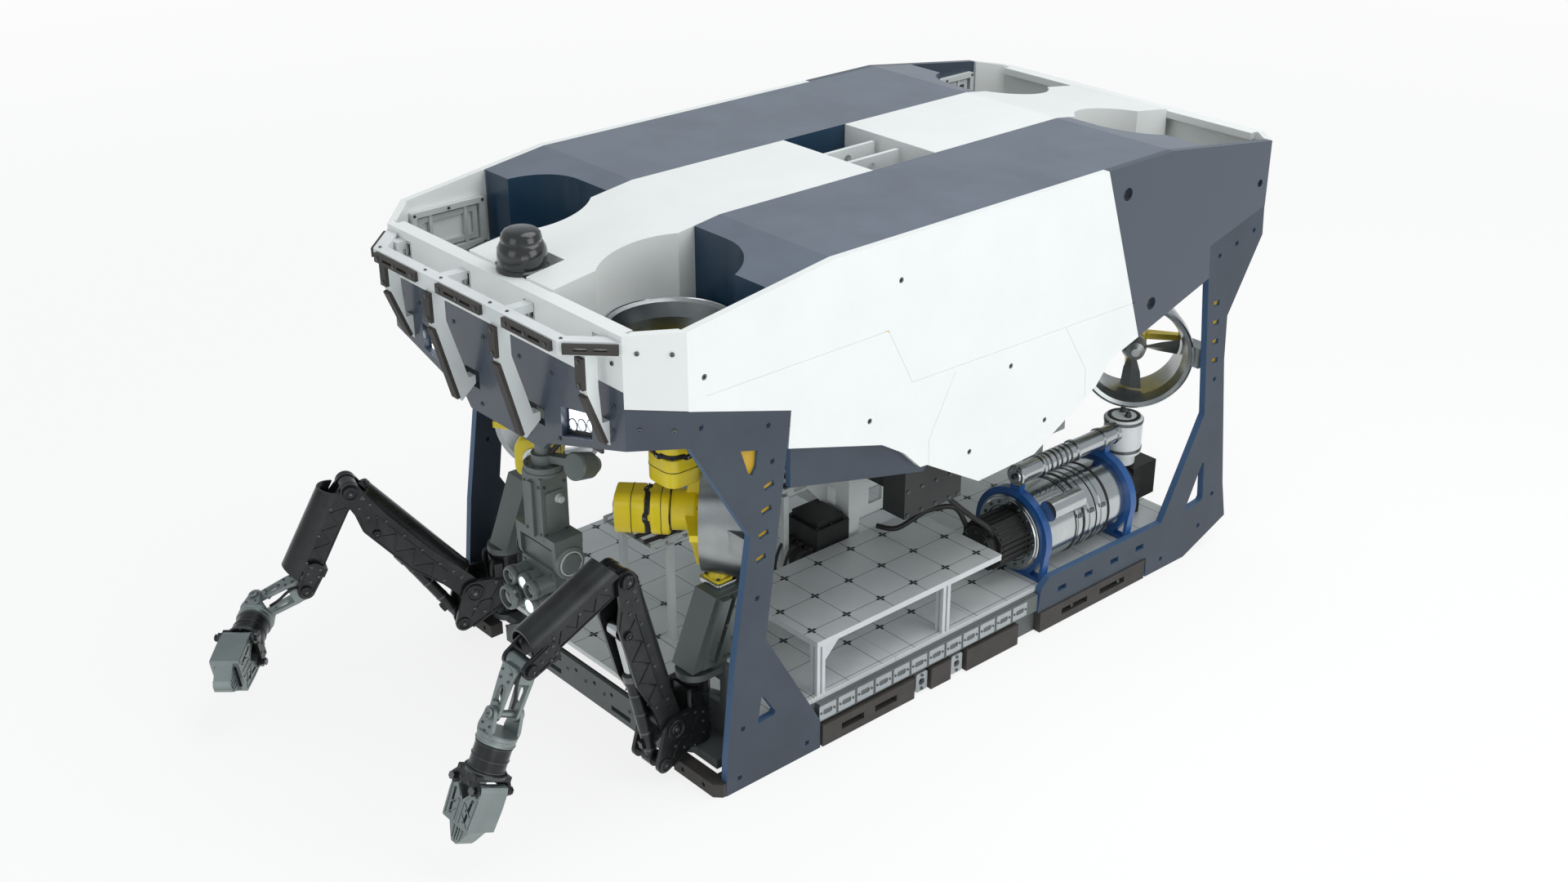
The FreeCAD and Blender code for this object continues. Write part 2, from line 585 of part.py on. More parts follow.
def saddles():
    """Two blue rings with feet on the deck, and the blocks that carry the slim canister."""
    x, z = CANISTER_AXIS
    rings = []
    for y in (CANISTER_FRONT + 8, CANISTER_REAR - 8 - SADDLE_THICKNESS):
        top = y + SADDLE_THICKNESS
        ring = along_y(x, z, y, top, SADDLE_RADIUS)
        foot = slab_y([(x - 175, DECK_TOP), (x + 175, DECK_TOP), (x + 190, z - 30), (x + 190, z),
                       (x - 190, z), (x - 190, z - 30)], y, top)
        window = slab_y([(x + 112, DECK_TOP + 18), (x + 162, DECK_TOP + 18), (x + 170, z - 72)], y - 1, top + 1)
        window_b = slab_y([(x - 112, DECK_TOP + 18), (x - 162, DECK_TOP + 18), (x - 170, z - 72)], y - 1, top + 1)
        block = box(x - 18, x + 34, y + 3, top - 3, z + SADDLE_RADIUS - 12, SLIM_AXIS_Z - 12)
        solid = fused([ring, foot, block])
        below = box(x - 200, x + 200, y - 1, top + 1, z - 200, DECK_TOP)
        bore = along_y(x, z, y - 1, top + 1, CANISTER_RADIUS + SEAT)
        slim = along_y(x + 8, SLIM_AXIS_Z, y - 1, top + 1, SLIM_RADIUS + SEAT)
        rings.append(without(solid, [bore, slim, window, window_b, below]))
    return Part.makeCompound(rings)


MOTOR_FRONT = 186.0
MOTOR_SIZE = 112.0
PUMP_TOP = 462.0


def power_units():
    """Electric motor ahead of the canister, pump behind it and the compensator above the pump."""
    x, z = CANISTER_AXIS
    corners = []
    for i in range(8):
        turn = math.radians(22.5 + 45 * i)
        corners.append((x + MOTOR_SIZE * math.cos(turn), z + MOTOR_SIZE * math.sin(turn)))
    motor = slab_y(corners, MOTOR_FRONT + 30, CANISTER_FRONT)
    cap = along_y(x, z, MOTOR_FRONT, MOTOR_FRONT + 30, MOTOR_SIZE - 26)
    pump = fused([along_y(x, z, CANISTER_REAR, CANISTER_REAR + 150, 92),
                  box(x - 78, x + 78, CANISTER_REAR + 110, CANISTER_REAR + 262, z - 76, PUMP_TOP),
                  box(x - 40, x + 40, CANISTER_REAR + 120, CANISTER_REAR + 220, DECK_TOP, z - 70)])
    y = CANISTER_REAR + 120
    stand = rod((x - 6, y, PUMP_TOP - 60), Z_AXIS, 46, 128)
    can = rod((x - 6, y, PUMP_TOP + 68), Z_AXIS, 79, 150)
    lid = rod((x - 6, y, PUMP_TOP + 218), Z_AXIS, 70, 8)
    fittings = [rod((x - 6 + dx, y + dy, PUMP_TOP + 224), Z_AXIS, 9, 26) for dx, dy in ((-22, 18), (26, -6))]
    return Part.makeCompound([fused([motor, cap]), fused([pump, stand, can, lid] + fittings)])


BEAM_X = 280.0
BEAM_FRONT = -190.0
BEAM_REAR = 1130.0
REAR_POST = 930.0
BEAM_LOW = 480.0
BEAM_HIGH = 660.0
BEAM_WEB = 14.0
BAY_POST = 60.0
LIFT_PLATE_X = 68.0
LIFT_PIN = 20.0
LIFT_EYE = (96.0, TOP_HEIGHT - 69)
LIFT_PLATE_TOP = TOP_HEIGHT - 23


def inner_frame():
    """White beams with square lightening holes, the posts to the upper body and the lift plates."""
    web = box(BEAM_X - BEAM_WEB, BEAM_X, BEAM_FRONT, BEAM_REAR, BEAM_LOW, BEAM_HIGH)
    low_lip = box(BEAM_X - 46, BEAM_X, BEAM_FRONT, BEAM_REAR, BEAM_LOW, BEAM_LOW + 12)
    top_lip = box(BEAM_X - 46, BEAM_X, BEAM_FRONT, BEAM_REAR, BEAM_HIGH - 12, BEAM_HIGH)
    holes = []
    pitch = 146.0
    for i in range(9):
        y = BEAM_FRONT + 110 + pitch * i
        holes.append(box(BEAM_X - BEAM_WEB - 1, BEAM_X + 1, y, y + 74, BEAM_LOW + 46, BEAM_LOW + 120))
    beam = without(fused([web, low_lip, top_lip]), holes)
    pieces = [beam, mirrored(beam)]
    for y in (BEAM_FRONT, REAR_POST):
        cross = box(-BEAM_X, BEAM_X, y, y + BEAM_WEB, BEAM_LOW, BEAM_HIGH)
        openings = [box(x - 37, x + 37, y - 1, y + BEAM_WEB + 1, BEAM_LOW + 46, BEAM_LOW + 120)
                    for x in (-165, -55, 55, 165)]
        pieces.append(without(cross, openings))
        for side in (-1, 1):
            inner = BEAM_X - BAY_POST
            x0, x1 = sorted((side * inner, side * BEAM_X))
            pieces.append(box(x0, x1, y, y + BAY_POST, DECK_TOP, FOAM_UNDERSIDE))
    return fused(pieces)


def lift_plates():
    """Two drilled plates that stand up into the lift well, on a cross beam under the packs."""
    low = FOAM_UNDERSIDE - 90
    plate = slab_x([(LIFT_WELL_FRONT - 60, low), (LIFT_WELL_REAR + 60, low), (LIFT_WELL_REAR + 60, FOAM_UNDERSIDE),
                    (LIFT_WELL_REAR - 22, FOAM_UNDERSIDE), (LIFT_WELL_REAR - 22, LIFT_PLATE_TOP), (LIFT_WELL_FRONT + 22, LIFT_PLATE_TOP),
                    (LIFT_WELL_FRONT + 22, FOAM_UNDERSIDE), (LIFT_WELL_FRONT - 60, FOAM_UNDERSIDE)],
                   LIFT_PLATE_X - 9, LIFT_PLATE_X + 9)
    eye = rod((LIFT_PLATE_X - 10, LIFT_EYE[0], LIFT_EYE[1]), X_AXIS, LIFT_PIN, 20)
    rows = [rod((LIFT_PLATE_X - 10, y, LIFT_EYE[1] - 68), X_AXIS, 10, 20) for y in (20, 96, 172)]
    plate = without(plate, [eye] + rows)
    ties = [box(-LIFT_PLATE_X + 9, LIFT_PLATE_X - 9, y, y + 30, low, FOAM_UNDERSIDE - 10)
            for y in (LIFT_WELL_FRONT - 50, LIFT_WELL_REAR + 20)]
    return fused([plate, mirrored(plate)] + ties)


def bay_modules():
    """Valve boxes beside the front thrusters and the black electronics boxes of the bay."""
    modules = []
    for side in (-1, 1):
        x0, x1 = sorted((side * 533, side * 650))
        low = MOUNT_HIGH + 20
        body = slab_x([(-1300, low), (-1118, low), (-1010, low + 272), (-1184, low + 272)], x0, x1)
        foot = box(x0 + 20, x1 - 8, -1200, -1132, MOUNT_HIGH, low + 1)
        a, b = sorted((side * 650, side * 676))
        rails = [slab_x([(y, low + 18), (y + 40, low + 18), (y + 136, low + 264), (y + 96, low + 264)], a, b)
                 for y in (-1268, -1206)]
        modules.append(fused([body, foot] + rails))
    modules.append(fused([box(110, 300, -378, -206, DECK_TOP, 515), box(128, 282, -360, -224, 515, 542)]))
    modules.append(fused([box(BEAM_X, 590, -150, 0, 690, 710), box(573, 690, -289, 20, 694, 920)]))
    modules.append(fused([box(-520, -BEAM_X, -150, 0, 630, 650), box(-690, -505, -250, 300, 640, 940)]))
    return Part.makeCompound(modules)


DOME_SEAT = NOSE_HEIGHT - 14
DOME_Y = -1478.0
DOME_RADIUS = 84.0


def nose_instruments():
    """The sensor dome on the nose, and the two lamps behind the skirt's recesses."""
    y = DOME_Y
    dome = revolve_z([(0, 0), (DOME_RADIUS, 0), (DOME_RADIUS, 16), (76, 18), (74, 60), (66, 110), (54, 148), (46, 152), (0, 152)])
    dome.translate(V(0, y, DOME_SEAT))
    lamps = []
    for side in (-1, 1):
        x = side * 432
        plate = box(x - 96, x + 96, BODY_FRONT + PANEL_THICKNESS, BODY_FRONT + PANEL_THICKNESS + 10, 1335, 1500)
        body = box(x - 70, x + 70, BODY_FRONT + PANEL_THICKNESS + 10, BODY_FRONT + PANEL_THICKNESS + 86, 1356, 1476)
        lamps.append(fused([plate, body]))
    return Part.makeCompound([dome] + lamps)


# Thrusters, each modelled with its axis on Z and the intake above, then turned into place

HALF_NOZZLE = NOZZLE_LENGTH / 2


def nozzle():
    """One duct: straight throat, flared intake lip and a tapered tail."""
    return revolve_z([(NOZZLE_BORE, -HALF_NOZZLE), (NOZZLE_BORE, HALF_NOZZLE - 60), (NOZZLE_BORE + 14, HALF_NOZZLE - 8),
                      (NOZZLE_BORE + 28, HALF_NOZZLE), (NOZZLE_RADIUS, HALF_NOZZLE - 22),
                      (NOZZLE_RADIUS, HALF_NOZZLE - 60), (NOZZLE_BORE + 20, -HALF_NOZZLE)])


def flange():
    return revolve_z([(NOZZLE_RADIUS - 12, -16), (NOZZLE_FLANGE, -16), (NOZZLE_FLANGE, 0), (NOZZLE_RADIUS - 12, 0)])


def pod(length):
    """The motor pod under the duct, with four arms to the duct's tail rim and the shaft."""
    top = -HALF_NOZZLE
    body = revolve_z([(0, top - length), (POD_RADIUS - 26, top - length), (POD_RADIUS, top - length + 30),
                      (POD_RADIUS, top - 30), (POD_RADIUS - 14, top), (58, top + 62), (0, top + 62)])
    shaft = rod((0, 0, top + 60), Z_AXIS, SHAFT_RADIUS, 76)
    arms = [body, shaft]
    for turn in range(4):
        arm = slab_y([(POD_RADIUS - 20, top - 64), (NOZZLE_BORE + 19, top - 30), (NOZZLE_BORE + 19, top),
                      (NOZZLE_BORE - 2, top), (POD_RADIUS - 20, top - 12)], -13, 13)
        arms.append(placed(arm, (0, 0, 0), [(Z_AXIS, 90 * turn)]))
    return fused(arms)


def blade():
    """One twisted blade along +X, from the hub to the tip."""
    sections = []
    tip = NOZZLE_BORE - PROPELLER_TIP_GAP
    for reach, chord, pitch, thick in ((40, 44, 62, 13), (110, 88, 42, 9), (tip, 96, 26, 4)):
        turn = math.radians(pitch)
        points = []
        for along, across in ((-chord / 2, 0), (0, thick / 2), (chord / 2, 0), (0, -thick / 2)):
            points.append(V(reach, along * math.cos(turn) - across * math.sin(turn),
                            along * math.sin(turn) + across * math.cos(turn)))
        sections.append(Part.makePolygon(points + [points[0]]))
    return Part.makeLoft(sections, True, True)


def propeller():
    low = -HALF_NOZZLE + 64
    hub = revolve_z([(SHAFT_RADIUS + FIT, low), (52, low), (54, low + 50), (40, low + 96), (18, low + 112), (0, low + 114),
                     (0, low + 80), (SHAFT_RADIUS + FIT, low + 80)])
    pieces = [hub]
    for i in range(BLADE_COUNT):
        one = placed(blade(), (0, 0, low + 34), [(Z_AXIS, 360 / BLADE_COUNT * i)])
        pieces.append(one)
    whole = fused(pieces)
    return whole.common(rod((0, 0, low - 40), Z_AXIS, NOZZLE_BORE - PROPELLER_TIP_GAP, 240))


def upright(centre, side):
    return ((side * centre[0], centre[1], VERTICAL_CENTRE_Z), [])


def vectored(centre, heading):
    """Lay the duct's axis level, with the intake towards the given heading in the XY plane."""
    return (centre, [(Y_AXIS, 90), (Z_AXIS, heading)])


def side_of(centre, side):
    return (side * centre[0], centre[1], centre[2])


THRUSTERS = {
    "front_port_lift": upright(FRONT_WELL, 1),
    "front_starboard_lift": upright(FRONT_WELL, -1),
    "rear_port_lift": upright(REAR_WELL, 1),
    "rear_starboard_lift": upright(REAR_WELL, -1),
    "front_port_drive": vectored(VECTORED_FRONT, 45),
    "front_starboard_drive": vectored(side_of(VECTORED_FRONT, -1), 135),
    "rear_port_drive": vectored(VECTORED_REAR, -45),
    "rear_starboard_drive": vectored(side_of(VECTORED_REAR, -1), -135),
}


def lift_nozzles(names):
    ducts = []
    for name in names:
        origin, turns = THRUSTERS[name]
        ducts.append(placed(fused([nozzle(), flange()]), origin, turns))
    return Part.makeCompound(ducts)


def drive_nozzles(names, centre, bracket_y):
    """Two level ducts, each with the lug that bolts it to the inner face of its leg."""
    ducts = []
    for name in names:
        origin, turns = THRUSTERS[name]
        side = 1 if origin[0] > 0 else -1
        x0, x1 = sorted((side * (centre[0] + 130), side * PANEL_INNER))
        lug = box(x0, x1, bracket_y[0], bracket_y[1], centre[2] - 45, centre[2] + 45)
        solid = placed(revolve_z([(0, -HALF_NOZZLE), (NOZZLE_BORE + 15, -HALF_NOZZLE), (NOZZLE_RADIUS - 6, HALF_NOZZLE - 60),
                                  (NOZZLE_RADIUS - 6, HALF_NOZZLE), (0, HALF_NOZZLE)]), origin, turns)
        lug = max(lug.cut(solid).Solids, key=lambda piece: abs(piece.CenterOfMass.x))
        ducts.append(fused([placed(nozzle(), origin, turns), lug]))
    return Part.makeCompound(ducts)


POD_LENGTHS = {"front_port_lift": 365.0, "front_starboard_lift": 365.0}
LEVEL_POD = 310.0
REAR_LIFT_POD = 245.0


def thruster_pods():
    pods = []
    for name, (origin, turns) in THRUSTERS.items():
        if name.endswith("_drive"):
            length = LEVEL_POD
        else:
            length = POD_LENGTHS.get(name, REAR_LIFT_POD)
        pods.append(placed(pod(length), origin, turns))
    return Part.makeCompound(pods)


# Camera turret

PAN_TOP = 1012.0
MAST_RING = 73.0
POST_HALF = 58.0
CHEEK_INNER = 100.0
CHEEK_OUTER = 124.0
TILT_BOSS = 60.0
TILT_PIN = 26.0


def camera_mast():
    """The fixed mast under the nose, the bearing ring and the arm with its lamp."""
    tube = rod((0, TURRET_Y, PAN_TOP + 60), Z_AXIS, 30, FOAM_UNDERSIDE - PAN_TOP - 60)
    ring = rod((0, TURRET_Y, PAN_TOP + 22), Z_AXIS, MAST_RING, 38)
    collar = rod((0, TURRET_Y, PAN_TOP + 58), Z_AXIS, 44, 40)
    stub = rod((0, TURRET_Y, PAN_TOP - 60), Z_AXIS, 24, 84)
    arm = slab_z([(20, TURRET_Y - 16), (150, TURRET_Y + 60), (150, TURRET_Y + 100), (20, TURRET_Y + 24)],
                 PAN_TOP + 66, PAN_TOP + 96)
    lamp_body = revolve_z([(0, 0), (30, 0), (48, 34), (52, 110), (46, 118), (0, 118)])
    lamp = placed(lamp_body, (162, TURRET_Y + 112, PAN_TOP + 70), [(X_AXIS, 72), (Z_AXIS, 12)])
    return fused([tube, ring, collar, stub, arm, lamp])


def camera_pan():
    """Panning head: square post, cross housing and the two cheeks of the tilt axis."""
    y, z = TILT_AXIS
    post = box(-POST_HALF, POST_HALF, TURRET_Y - POST_HALF, TURRET_Y + POST_HALF, 782, PAN_TOP + 22 - SEAT)
    rib = box(-14, 14, TURRET_Y - POST_HALF - 12, TURRET_Y - POST_HALF + 2, 790, PAN_TOP)
    cross = box(-CHEEK_OUTER, CHEEK_OUTER, y - 62, y + 62, z + TILT_BOSS + 4, z + TILT_BOSS + 42)
    pieces = [post, rib, cross]
    for side in (-1, 1):
        x0, x1 = sorted((side * CHEEK_INNER, side * CHEEK_OUTER))
        boss = rod((x0, y, z), X_AXIS, TILT_BOSS, x1 - x0)
        pieces += [boss, box(x0, x1, y - TILT_BOSS, y + TILT_BOSS, z, z + TILT_BOSS + 6)]
    body = fused(pieces)
    bores = [rod((0, TURRET_Y, PAN_TOP - 61), Z_AXIS, 24 + FIT, 90),
             rod((-CHEEK_OUTER + 6, y, z), X_AXIS, TILT_PIN + FIT, 2 * (CHEEK_OUTER - 6))]
    return without(body, bores)


def camera_tilt():
    """Tilting cluster: cross bar on two trunnions, face plate, camera and four lamps."""
    y, z = TILT_AXIS
    inner = CHEEK_INNER - 1
    bar = box(-inner, inner, y - 44, y + 40, z - 46, z + 40)
    pins = rod((-CHEEK_OUTER + 8, y, z), X_AXIS, TILT_PIN, 2 * (CHEEK_OUTER - 8))
    plate = box(-94, 94, y - 58, y - 44, z - 190, z - 30)
    neck = box(-70, 70, y - 46, y + 20, z - 150, z - 44)
    pieces = [bar, pins, plate, neck]
    lamps = ((-66, -86, 34, 96), (6, -84, 30, 84), (64, -92, 34, 96), (-52, -162, 44, 120), (50, -164, 34, 90))
    for x, dz, radius, reach in lamps:
        hood = rod((x, y - 50, z + dz), V(0, -1, 0), radius, reach)
        recess = rod((x, y - 50 - reach + 18, z + dz), V(0, -1, 0), radius - 8, 30)
        pieces.append(without(hood, [recess]))
    return fused(pieces)


# Manipulators: each link lies along +X from its own pivot, with Z up and Y across the arm

HALF_GAP = CHEEK_GAP / 2
CHEEK_OUT = HALF_GAP + CHEEK_THICKNESS
FAIRING = 58.0
FORE_GAP = 62.0
HALF_FORE = FORE_GAP / 2


def cheeks(circles, inner, outer):
    return [hull_y(circles, inner, outer), hull_y(circles, -outer, -inner)]


def fairing(start, end, drop, radius, wall):
    """A half round cover along the back of a link, open at both ends."""
    outer = rod((start, 0, drop), X_AXIS, radius, end - start)
    inner = rod((start - 1, 0, drop), X_AXIS, radius - wall, end - start + 2)
    lower = box(start - 2, end + 2, -radius - 1, radius + 1, drop - radius - 1, drop)
    return outer.cut(inner).cut(lower)


def shoulder():
    """Slewing bracket: hub on the king pin line, two cheeks, shoulder pin and lift cylinder foot pin."""
    inner, outer = CHEEK_OUT + 1.5, CHEEK_OUT + 17.5
    base = SHOULDER[1]
    low, high = MOUNT_LOW + SHELF - base + 1, MOUNT_HIGH - SHELF - base - 1
    hub = rod((-SLEW_OFFSET, 0, low), Z_AXIS, HUB_RADIUS, high - low)
    king = rod((-SLEW_OFFSET, 0, MOUNT_LOW - base - 6), Z_AXIS, KING_PIN, MOUNT_HIGH - MOUNT_LOW + 12)
    web = box(-SLEW_OFFSET + 30, -86, -outer, outer, low + 24, high - 24)
    side = [(-100, 10, 46), (0, 0, 50), (LIFT_FOOT[0], LIFT_FOOT[1], 34)]
    brace = [(-100, -40, 50), (LIFT_FOOT[0], LIFT_FOOT[1], 34)]
    pieces = [hub, king, web] + cheeks(side, inner, outer) + cheeks(brace, inner, outer)
    pieces.append(rod((0, -outer, 0), Y_AXIS, PIN_RADIUS, 2 * outer))
    pieces.append(rod((LIFT_FOOT[0], -outer, LIFT_FOOT[1]), Y_AXIS, 14, 2 * outer))
    return fused(pieces)


def upper_arm():
    """Two ribbed cheeks and the half round back cover; the lift cylinder's head pin is in two stubs."""
    outline = [(0, 0, 48), (127, -8, 48), (272, -32, 56), (525, -32, 56), (600, -14, 44), (UPPER_LENGTH, 0, 40)]
    pieces = cheeks(outline, HALF_GAP, CHEEK_OUT)
    pieces.append(fairing(80, UPPER_LENGTH - 42, 6, CHEEK_OUT, 9))
    pieces.append(rod((0, -CHEEK_OUT, 0), Y_AXIS, PIN_RADIUS + 14, 2 * CHEEK_OUT))
    pieces.append(box(150, 180, -HALF_GAP - 1, HALF_GAP + 1, 0, 34))
    pieces.append(box(560, 584, -HALF_GAP - 1, HALF_GAP + 1, 0, 40))
    for side in (-1, 1):
        a, b = sorted((side * 28, side * (CHEEK_OUT + 6)))
        pieces.append(rod((LIFT_HEAD[0], a, -LIFT_HEAD[1]), Y_AXIS, 15, b - a))
        c, d = sorted((side * (HALF_FORE + 13), side * (CHEEK_OUT + 6)))
        pieces.append(rod((UPPER_LENGTH, c, 0), Y_AXIS, 28, d - c))
    pieces.append(rod((UPPER_LENGTH, -HALF_GAP - 2, 0), Y_AXIS, PIN_RADIUS - 2, 2 * HALF_GAP + 4))
    arm = fused(pieces)
    return without(arm, [rod((0, -CHEEK_OUT - 1, 0), Y_AXIS, PIN_RADIUS + FIT, 2 * CHEEK_OUT + 2)])


ROD_RADIUS = 17.0
BARREL_RADIUS = 24.0
BARREL_LENGTH = 400.0


def lift_barrel():
    """Cylinder barrel along +X from its foot pin."""
    eye = rod((0, -26, 0), Y_AXIS, 30, 52)
    tube = rod((20, 0, 0), X_AXIS, BARREL_RADIUS, BARREL_LENGTH - 20)
    gland = rod((BARREL_LENGTH - 46, 0, 0), X_AXIS, BARREL_RADIUS + 4, 46)
    port = box(60, 92, -12, 12, -BARREL_RADIUS - 12, 0)
    body = fused([eye, tube, gland, port])
    bore = rod((60, 0, 0), X_AXIS, ROD_RADIUS + FIT, BARREL_LENGTH)
    return without(body, [bore, rod((0, -27, 0), Y_AXIS, 14 + FIT, 54)])


def lift_rod(length):
    """Piston rod whose head eye is the linkage's open pivot, at the given distance from the foot."""
    shaft = rod((length - 430, 0, 0), X_AXIS, ROD_RADIUS, 406)
    eye = hull_y([(length - 22, 0, 20), (length, 0, 27)], -26, 26)
    return fused([shaft, eye])


WRIST_HALF = 50.0
WRIST_PIN = 13.0
FORE_COVER = 66.0
FORE_COVER_LIFT = 47.0


def forearm():
    """Narrower link with its own back cover and, at the wrist, two wide cheeks with the pitch pin."""
    outline = [(0, 0, 40), (80, 14, 44), (FORE_LENGTH - 80, 14, 44)]
    pieces = cheeks(outline, HALF_FORE - 1, HALF_FORE + 12)
    cover = fairing(18, FORE_LENGTH - 34, FORE_COVER_LIFT, FORE_COVER, 8)
    rear_cut = slab_y([(0, FORE_COVER_LIFT - 1), (16, FORE_COVER_LIFT - 1), (64, 200), (0, 200)], -90, 90)
    end = FORE_LENGTH - 34
    front_cut = slab_y([(end + 1, FORE_COVER_LIFT - 1), (end + 40, 200), (end - 44, 200)], -90, 90)
    pieces.append(cover.cut(rear_cut).cut(front_cut))
    for x in (70, 190, 310):
        pieces.append(box(x, x + 26, -FORE_COVER + 4, FORE_COVER - 4, FORE_COVER_LIFT - 2, FORE_COVER_LIFT + 6))
    pieces.append(rod((0, -HALF_FORE - 12, 0), Y_AXIS, PIN_RADIUS + 16, 2 * HALF_FORE + 24))
    pieces.append(box(FORE_LENGTH - 112, FORE_LENGTH - 76, -WRIST_HALF - 13, WRIST_HALF + 13, -44, 56))
    pieces += cheeks([(FORE_LENGTH - 84, 2, 40), (FORE_LENGTH, 0, 34)], WRIST_HALF, WRIST_HALF + 14)
    pieces.append(rod((FORE_LENGTH, -WRIST_HALF - 24, 0), Y_AXIS, WRIST_PIN, 2 * WRIST_HALF + 48))
    for side in (-1, 1):
        a, b = sorted((side * (WRIST_HALF + 13), side * (WRIST_HALF + 22)))
        pieces.append(rod((FORE_LENGTH, a, 0), Y_AXIS, 24, b - a))
    pieces.append(box(90, 112, -HALF_FORE, HALF_FORE, -30, 40))
    link = fused(pieces)
    return without(link, [rod((0, -HALF_FORE - 13, 0), Y_AXIS, PIN_RADIUS - 2 + FIT, 2 * HALF_FORE + 26)])


LUG_INNER = 48.6
LUG_OUTER = 62.0
COLLAR_START = 62.0
COLLAR_END = 100.0


def wrist_pitch():
    """Link from the forearm's pitch pin to the yaw pin: a hub and two drilled silver plates, front and back."""
    hub = rod((0, -WRIST_HALF + 0.6, 0), Y_AXIS, 29, 2 * WRIST_HALF - 1.2)
    neck = box(8, 62, -36, 36, -LUG_INNER + 2, LUG_INNER - 2)
    plates = cheeks([(50, 0, 36), (WRIST_LENGTH, 0, 27)], LUG_INNER - 15, LUG_INNER - 1)
    openings = [hull_y([(96, 0, 15), (128, 0, 12)], -LUG_INNER, LUG_INNER)]
    plates = [placed(plate, (0, 0, 0), [(X_AXIS, 90)]) for plate in plates]
    openings = [placed(opening, (0, 0, 0), [(X_AXIS, 90)]) for opening in openings]
    pin = rod((WRIST_LENGTH, 0, -LUG_OUTER - 4), Z_AXIS, WRIST_PIN, 2 * LUG_OUTER + 8)
    link = fused([hub, neck] + plates + [pin])
    return without(link, openings + [rod((0, -WRIST_HALF, 0), Y_AXIS, WRIST_PIN + FIT, 2 * WRIST_HALF)])


def wrist_yaw():
    """Yoke on the yaw pin, with the fixed collar that the gripper turns on."""
    lugs = [placed(lug, (0, 0, 0), [(X_AXIS, 90)])
            for lug in cheeks([(0, 0, 27), (COLLAR_START - 8, 0, 40)], LUG_INNER, LUG_OUTER)]
    collar = revolve_z([(0, COLLAR_START), (GRIP_RADIUS, COLLAR_START), (GRIP_RADIUS + 4, COLLAR_START + 8),
                        (GRIP_RADIUS + 4, COLLAR_END - 8), (GRIP_RADIUS, COLLAR_END), (0, COLLAR_END)])
    collar = placed(collar, (0, 0, 0), [(Y_AXIS, 90)])
    spigot = rod((COLLAR_END - 1, 0, 0), X_AXIS, 22, 31)
    yoke = fused(lugs + [collar, spigot])
    return without(yoke, [rod((0, 0, -LUG_OUTER - 1), Z_AXIS, WRIST_PIN + FIT, 2 * LUG_OUTER + 2)])


EAR_INNER = 58.0
EAR_OUTER = 72.0


def gripper():
    """Rotating housing with its flange and the two wide ears that carry both jaw pins."""
    start = COLLAR_END + 0.5
    shell = revolve_z([(0, start), (GRIP_RADIUS, start), (GRIP_RADIUS, 196), (GRIP_RADIUS + 8, 202),
                       (GRIP_RADIUS + 8, 212), (0, 212)])
    shell = placed(shell, (0, 0, 0), [(Y_AXIS, 90)])
    x, y = JAW_PIVOT
    pieces = [shell, box(204, 222, -58, 58, -EAR_INNER - 2, EAR_INNER + 2)]
    ear_outline = [(204, -58), (222, -58), (x - 6, -y - 21), (x + 6, -y - 21), (x + 22, -y), (x + 22, -y + 8), (x, -y + 24),
                   (x, y - 24), (x + 22, y - 8), (x + 22, y), (x + 6, y + 21), (x - 6, y + 21), (222, 58), (204, 58)]
    pieces += [slab_z(ear_outline, EAR_INNER, EAR_OUTER), slab_z(ear_outline, -EAR_OUTER, -EAR_INNER)]
    for side in (-1, 1):
        pieces.append(rod((x, side * y, -EAR_OUTER - 10), Z_AXIS, 11, 2 * EAR_OUTER + 20))
    body = fused(pieces)
    return without(body, [rod((start - 1, 0, 0), X_AXIS, 22 + FIT, 31)])


JAW_LENGTH = 218.0
JAW_HALF = 56.0


def jaw():
    """One jaw from its pivot, on the positive side: two slotted side plates, a back and a ribbed tip."""
    x, y = JAW_PIVOT
    outline = [(-20, -8), (-8, -22), (22, -22), (60, 0.6 - y), (JAW_LENGTH, 0.6 - y), (JAW_LENGTH, 14 - y),
               (JAW_LENGTH - 14, 26 - y), (154, 2), (146, 16), (60, 22), (0, 21), (-16, 14)]
    body = fused([slab_z(outline, -JAW_HALF, JAW_HALF), rod((0, 0, -JAW_HALF), Z_AXIS, 20, 2 * JAW_HALF)])
    inside = slab_z([(26, -60), (26, 6), (140, 4), (150, -10), (150, -60)], -JAW_HALF + 13, JAW_HALF - 13)
    slot = hull_y([(44, 8, 6), (120, 16, 6)], -JAW_HALF - 1, JAW_HALF + 1)
    slot = placed(slot, (0, 0, 0), [(X_AXIS, 90)])
    tip_cuts = [box(150, JAW_LENGTH + 1, -80, 40, z0, z1)
                for z0, z1 in ((-JAW_HALF - 1, -34), (34, JAW_HALF + 1))]
    teeth = [box(168 + 12 * i, 173 + 12 * i, -y, 3.6 - y, -35, 35) for i in range(4)]
    bore = rod((0, 0, -JAW_HALF - 1), Z_AXIS, 11 + FIT, 2 * JAW_HALF + 2)
    return without(body, [inside, slot, bore] + tip_cuts + teeth)


